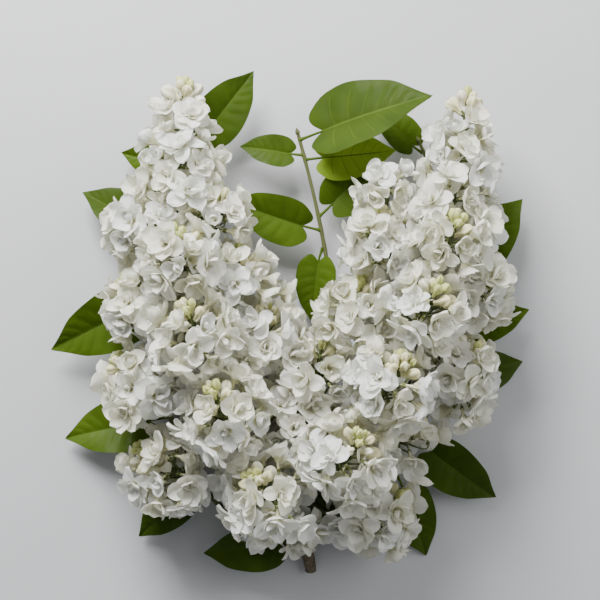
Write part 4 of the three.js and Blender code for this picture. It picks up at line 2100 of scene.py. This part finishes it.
@dataclass
class Blossom:
    """Everything that flowers on one head: axis, branches, stalks, florets and buds."""

    head: FlowerHead
    forms: dict[Opening, list[Patch]]
    near: Neighbours
    openings: tuple[Opening, ...] = (
        Opening.FULL,
        Opening.FULL,
        Opening.HALF,
        Opening.HALF,
        Opening.FULL,
        Opening.YOUNG,
    )
    tints: tuple[PetalSlot, ...] = (
        PetalSlot.WHITE,
        PetalSlot.COOL,
        PetalSlot.WHITE,
        PetalSlot.COOL,
        PetalSlot.WHITE,
        PetalSlot.COOL,
        PetalSlot.CREAM,
    )
    nod: float = 0.4
    nod_range: tuple[float, float] = (0.6, 1.9)
    by_buds: float = 17.0
    half_by_buds: float = 0.4  # share of them
    deep: float = 4.5
    faces_down: float = -0.35
    off_ground: float = 0.2
    axis_rings: int = 91
    axis_sides: int = 14
    tier_swelling: float = 0.3
    tier_swelling_length: float = 0.012
    ribs: int = 4
    rib_height: float = 0.05
    axis_foot: float = 4.5
    foot_swelling: float = 1.25
    branch_foot: float = 1.2
    branch_taper: float = 0.75
    branch_rings: int = 18
    branch_sides: int = 9
    many_buds: int = 12
    few_buds: int = 9
    bud_lean: tuple[float, float] = (0.1, 1.25)
    bud_foot: tuple[float, float] = (-1.5, 4.5)  # back from the branch's end, inner to outer
    bud_size: tuple[float, float] = (0.76, 1.3)
    bud_stalk: tuple[float, float] = (4.2, 2.4)
    bud_stalk_radii: tuple[float, float] = (0.6, 0.75)
    bud_stalk_rings: int = 2
    bud_stalk_sides: int = 6
    bud_growth: float = 1.5  # power of the size from the inner buds to the outer
    bud_lean_spread: float = 0.12
    bud_turn_spread: float = 0.2
    bud_size_spread: float = 0.14
    bud_plump_spread: float = 0.12
    outer_from: float = 0.45  # share of the knot
    three_lobed: float = 0.3  # share of the buds
    floret_seed_step: int = 5
    bud_seed_step: int = 9
    inner_tints: tuple[BudSlot, ...] = (BudSlot.GREEN, BudSlot.GREEN, BudSlot.CREAM)
    outer_tints: tuple[BudSlot, ...] = (BudSlot.PALE, BudSlot.CREAM, BudSlot.PALE, BudSlot.CREAM)

    def build(self, petals: Materials, buds: Materials, green: Materials) -> None:
        """Makes all its pieces.

        Args:
            petals: by PetalSlot.
            buds: by BudSlot.
            green: by TwigSlot.
        """
        name, clusters = self.head.name, self.head.clusters()
        kept: list[Grown] = []
        empty: list[Grown] = []
        for cluster in clusters:
            found, left = cluster.florets()
            kept += [(cluster, place) for place in found]
            empty += [(cluster, place) for place in left]
        log.info("%s head: %d florets in the frame", name, len(kept))
        kept += Filling(self.head, clusters, self.near).florets(kept, empty)
        log.info("%s head: %d florets in all", name, len(kept))
        self._axis(clusters, green)
        blooms = self._set(kept, np.array([cluster.knot() for cluster in clusters]))
        self._florets(blooms, petals)
        self._buds(clusters, buds, green)
        stalks = Piece(f"{name}_stalks", "green_stem", green)
        for bloom in blooms:
            stalks.add(*bloom.floret.stalk())
        stalks.build()

    def _axis(self, clusters: Sequence[Cluster], green: Materials) -> None:
        """Makes the green axis with a swelling at each tier, and its branches.

        Args:
            clusters: the branches.
            green: by TwigSlot.
        """
        head = self.head
        t = np.linspace(0, head.tip_starts, self.axis_rings)
        reach = mix(*head.axis_radii, t)
        for k in range(head.tiers):
            reach = reach * (1 + self.tier_swelling * hump(t, head.tier(k), self.tier_swelling_length))
        centres, ways = head.axis.point(t), head.axis.tangent(t)
        centres = np.concatenate([[centres[0] - ways[0] * self.axis_foot], centres])
        ways = np.concatenate([ways[:1], ways])
        reach = np.concatenate([[self.foot_swelling * reach[0]], reach])
        ribs = self.rib_height * np.cos(self.ribs * around(self.axis_sides))
        lobes = 1 + np.tile(ribs, (len(centres), 1))
        piece = Piece(f"{head.name}_axis", "green_stem", green)
        piece.add(tube(centres, ways, reach, self.axis_sides, lobes=lobes))
        piece.build([f"{head.name}_head_axis"])
        branches = Piece(f"{head.name}_branches", "green_stem", green)
        for cluster in clusters:
            foot = cluster.curve.controls[0] - cluster.curve.tangent(0.0) * self.branch_foot
            curve = Bezier.of(foot, *cluster.curve.controls[1:])
            radii = (cluster.radii[0], self.branch_taper * cluster.radii[1])
            branches.add(limb(curve, radii, self.branch_rings, self.branch_sides))
        branches.build()

    def _set(self, kept: Sequence[Grown], knots: Array) -> list[Bloom]:
        """Sets each floret: it nods a little, opens by its place and clears the ground.

        Args:
            kept: the florets.
            knots: the middle of each branch's knot of buds.

        Returns:
            The florets as set.
        """
        stream = Stream(self.head.seed + self.floret_seed_step)
        blooms = []
        for cluster, floret in kept:
            opening = self.openings[int(stream() * len(self.openings))]
            tint = self.tints[int(stream() * len(self.tints))]
            sway = np.array([stream.spread(1), stream.spread(1), stream.spread(1)])
            sway = sway * mix(*self.nod_range, stream() ** 2)
            floret = replace(floret, facing=unit(floret.facing + self.nod * sway))
            if np.min(np.linalg.norm(knots - floret.centre, axis=1)) < self.by_buds:
                opening = Opening.YOUNG if stream() > self.half_by_buds else Opening.HALF
                tint = PetalSlot.CREAM
            if floret.depth > self.deep or floret.facing[2] < self.faces_down:
                opening = Opening.DEEP
            form = self.forms[opening][int(stream() * len(self.forms[opening]))]
            slots = np.where(form.slots == PetalSlot.WHITE, tint, form.slots)
            petals = form.dealt(slots).placed(floret.basis(), floret.scale, floret.throat())
            lift = max(0.0, MIDDLE[2] + self.off_ground - petals.lowest())
            floret = replace(floret, centre=floret.centre + UP * lift)
            blooms.append(Bloom(cluster, floret, petals.raised(lift)))
        return blooms

    def _florets(self, blooms: Sequence[Bloom], materials: Materials) -> None:
        """Makes the petals, in one piece for each side of the head.

        Args:
            blooms: the florets as set.
            materials: by PetalSlot.
        """
        for side in Side:
            piece = Piece(f"{self.head.name}_florets_{side.value}", "blossom", materials)
            here = [bloom for bloom in blooms if bloom.cluster.side is side]
            piece.add(*[bloom.petals for bloom in here])
            piece.build(sorted({bloom.cluster.name for bloom in here}))

    def _buds(self, clusters: Sequence[Cluster], materials: Materials, green: Materials) -> None:
        """Makes the knot of closed buds at the end of each branch, on short stalks.

        Args:
            clusters: the branches.
            materials: by BudSlot.
            green: by TwigSlot.
        """
        stream = Stream(self.head.seed + self.bud_seed_step)
        piece = Piece(f"{self.head.name}_buds", "blossom", materials)
        stalks = Piece(f"{self.head.name}_bud_stalks", "green_stem", green)
        for cluster in clusters:
            end, way = cluster.curve.point(1.0), cluster.curve.tangent(1.0)
            count = self.many_buds if cluster.side in (Side.UPPER, Side.TIP) else self.few_buds
            for i in range(count):
                share = (i + 0.5) / count
                angle = mix(*self.bud_lean, share) + stream.spread(self.bud_lean_spread)
                turn = i * GOLDEN_TURN + stream.spread(self.bud_turn_spread)
                lean = splayed(way, cluster.guide, angle, turn)
                foot = end - way * mix(*self.bud_foot, share)
                size = mix(*self.bud_size, share**self.bud_growth) * (1 + stream.spread(self.bud_size_spread))
                start = foot + lean * mix(*self.bud_stalk, share)
                sides = sides_of(lean, turned(lean, level_guide(lean), stream.spread(ANY_TURN)))
                tints = self.outer_tints if share > self.outer_from else self.inner_tints
                tint = tints[int(stream() * len(tints))]
                lobes = 4 if stream() > self.three_lobed else 3
                bud = BudForm(lobes, tint, 1 + stream.spread(self.bud_plump_spread))
                piece.add(bud.patch().placed(np.stack([*sides, lean]), size, start))
                line = Bezier.of(foot, mix(foot, start, 0.5), start)
                rings, sides_round = self.bud_stalk_rings, self.bud_stalk_sides
                stalks.add(limb(line, self.bud_stalk_radii, rings, sides_round, TwigSlot.TWIG))
        piece.build()
        stalks.build()


# ---- The sprig ----


SHOOTS = (
    LeafyShoot(
        "middle_shoot",
        0.84,
        ((30, -74, 6), (26, 0, 9), (-1, 96, 20)),
        (
            Leaf(0.76, 262, -2, 36, 8, LeafSlot.MID),
            Leaf(0.8, 163, 6, 44, -14, LeafSlot.MID),
            Leaf(0.83, 48, -2, 42, 8, LeafSlot.MID),
            Leaf(0.96, 170, 6, 29, 10, LeafSlot.DEEP),
            # this leaf lies in the shadow of the leaf above; its lighter green is painted light
            Leaf(0.95, 4, 6, 42, 10, LeafSlot.BRIGHT),
            Leaf(0.99, 20, 26, 66, -30, LeafSlot.DEEP),
        ),
        seed=12,
    ),
    LeafyShoot(
        "left_shoot",
        0.45,
        ((-84, -128, 8), (-103, -17, 8), (-62, 94, 13)),
        (
            Leaf(0.3, 222, 3, 38, 6, LeafSlot.DEEP),
            Leaf(0.47, 190, 6, 50, 12, LeafSlot.MID),
            Leaf(0.72, 209, 12, 56, -16, LeafSlot.MID),
            Leaf(0.83, 152, 8, 44, 14, LeafSlot.DEEP),
            Leaf(0.95, 168, 4, 30, -10, LeafSlot.MID),
            Leaf(0.99, 50, 14, 45, 12, LeafSlot.DEEP),
        ),
        seed=10,
    ),
    LeafyShoot(
        "right_shoot",
        0.45,
        ((74, -116, 8), (114, 0, 8), (70, 92, 14)),
        (
            Leaf(0.28, 290, -2, 42, -8, LeafSlot.DEEP),
            Leaf(0.37, 322, 6, 46, 12, LeafSlot.DEEP),
            Leaf(0.5, 18, 0, 42, -6, LeafSlot.DEEP),
            Leaf(0.62, 14, 16, 38, 10, LeafSlot.MID),
            Leaf(0.72, 52, 12, 50, -10, LeafSlot.MID),
            Leaf(0.98, 132, 1, 32, 10, LeafSlot.MID),
        ),
        seed=11,
    ),
)
STEM_LEAVES = (Leaf(0.62, 190, 4, 44, -12, LeafSlot.DEEP), Leaf(0.68, 46, 3, 48, 6, LeafSlot.MID))


@dataclass
class LilacSprig:
    """The whole cut sprig."""

    stem: WoodyStem = field(default_factory=WoodyStem)
    forms_each: int = 9
    form_seed: int = 40
    form_step: int = 13
    opening_step: int = 101
    stem_leaf_seed: int = 90

    def build(self, groups: Groups) -> None:
        """Makes every piece of it, from the stem outwards.

        Args:
            groups: the shared node groups by name.
        """
        petals, buds, twigs, leaves = (
            [finish.build(groups) for finish in finishes] for finishes in (PETALS, BUDS, TWIGS, LEAVES)
        )
        shoot = [SHOOT.build(groups)]
        self.stem.build([finish.build(groups) for finish in STEM_FINISHES])
        for part in SHOOTS:
            part.build(self.stem, shoot, leaves)
        self._stem_leaves(leaves)
        forms = {
            opening: [
                FloretForm(opening, self.form_seed + self.form_step * n + self.opening_step * k).patch()
                for n in range(self.forms_each)
            ]
            for k, opening in enumerate(Opening)
        }
        near = Neighbours.of_frame()
        for head in HEADS:
            Blossom(head, forms, near).build(petals, buds, twigs)

    def _stem_leaves(self, leaves: Materials) -> None:
        """Makes the two leaves that grow straight from the woody stem.

        Args:
            leaves: by LeafSlot.
        """
        piece = Piece("stem_leaves", "leaf", leaves)
        for number, leaf in enumerate(STEM_LEAVES):
            radius = float(self.stem.radius(leaf.at))
            piece.add(*leaf.patches(self.stem.curve, radius, self.stem_leaf_seed + number))
        piece.build(["stem_leaf_1", "stem_leaf_2"])


def main() -> None:
    """Builds the sprig and its studio."""
    logging.basicConfig(level=logging.INFO, format="%(name)s: %(message)s")
    groups = {"mottle": mottle_group(), "streaks": streak_group()}
    LilacSprig().build(groups)
    Studio().build(groups)


if __name__ == "__main__":
    main()
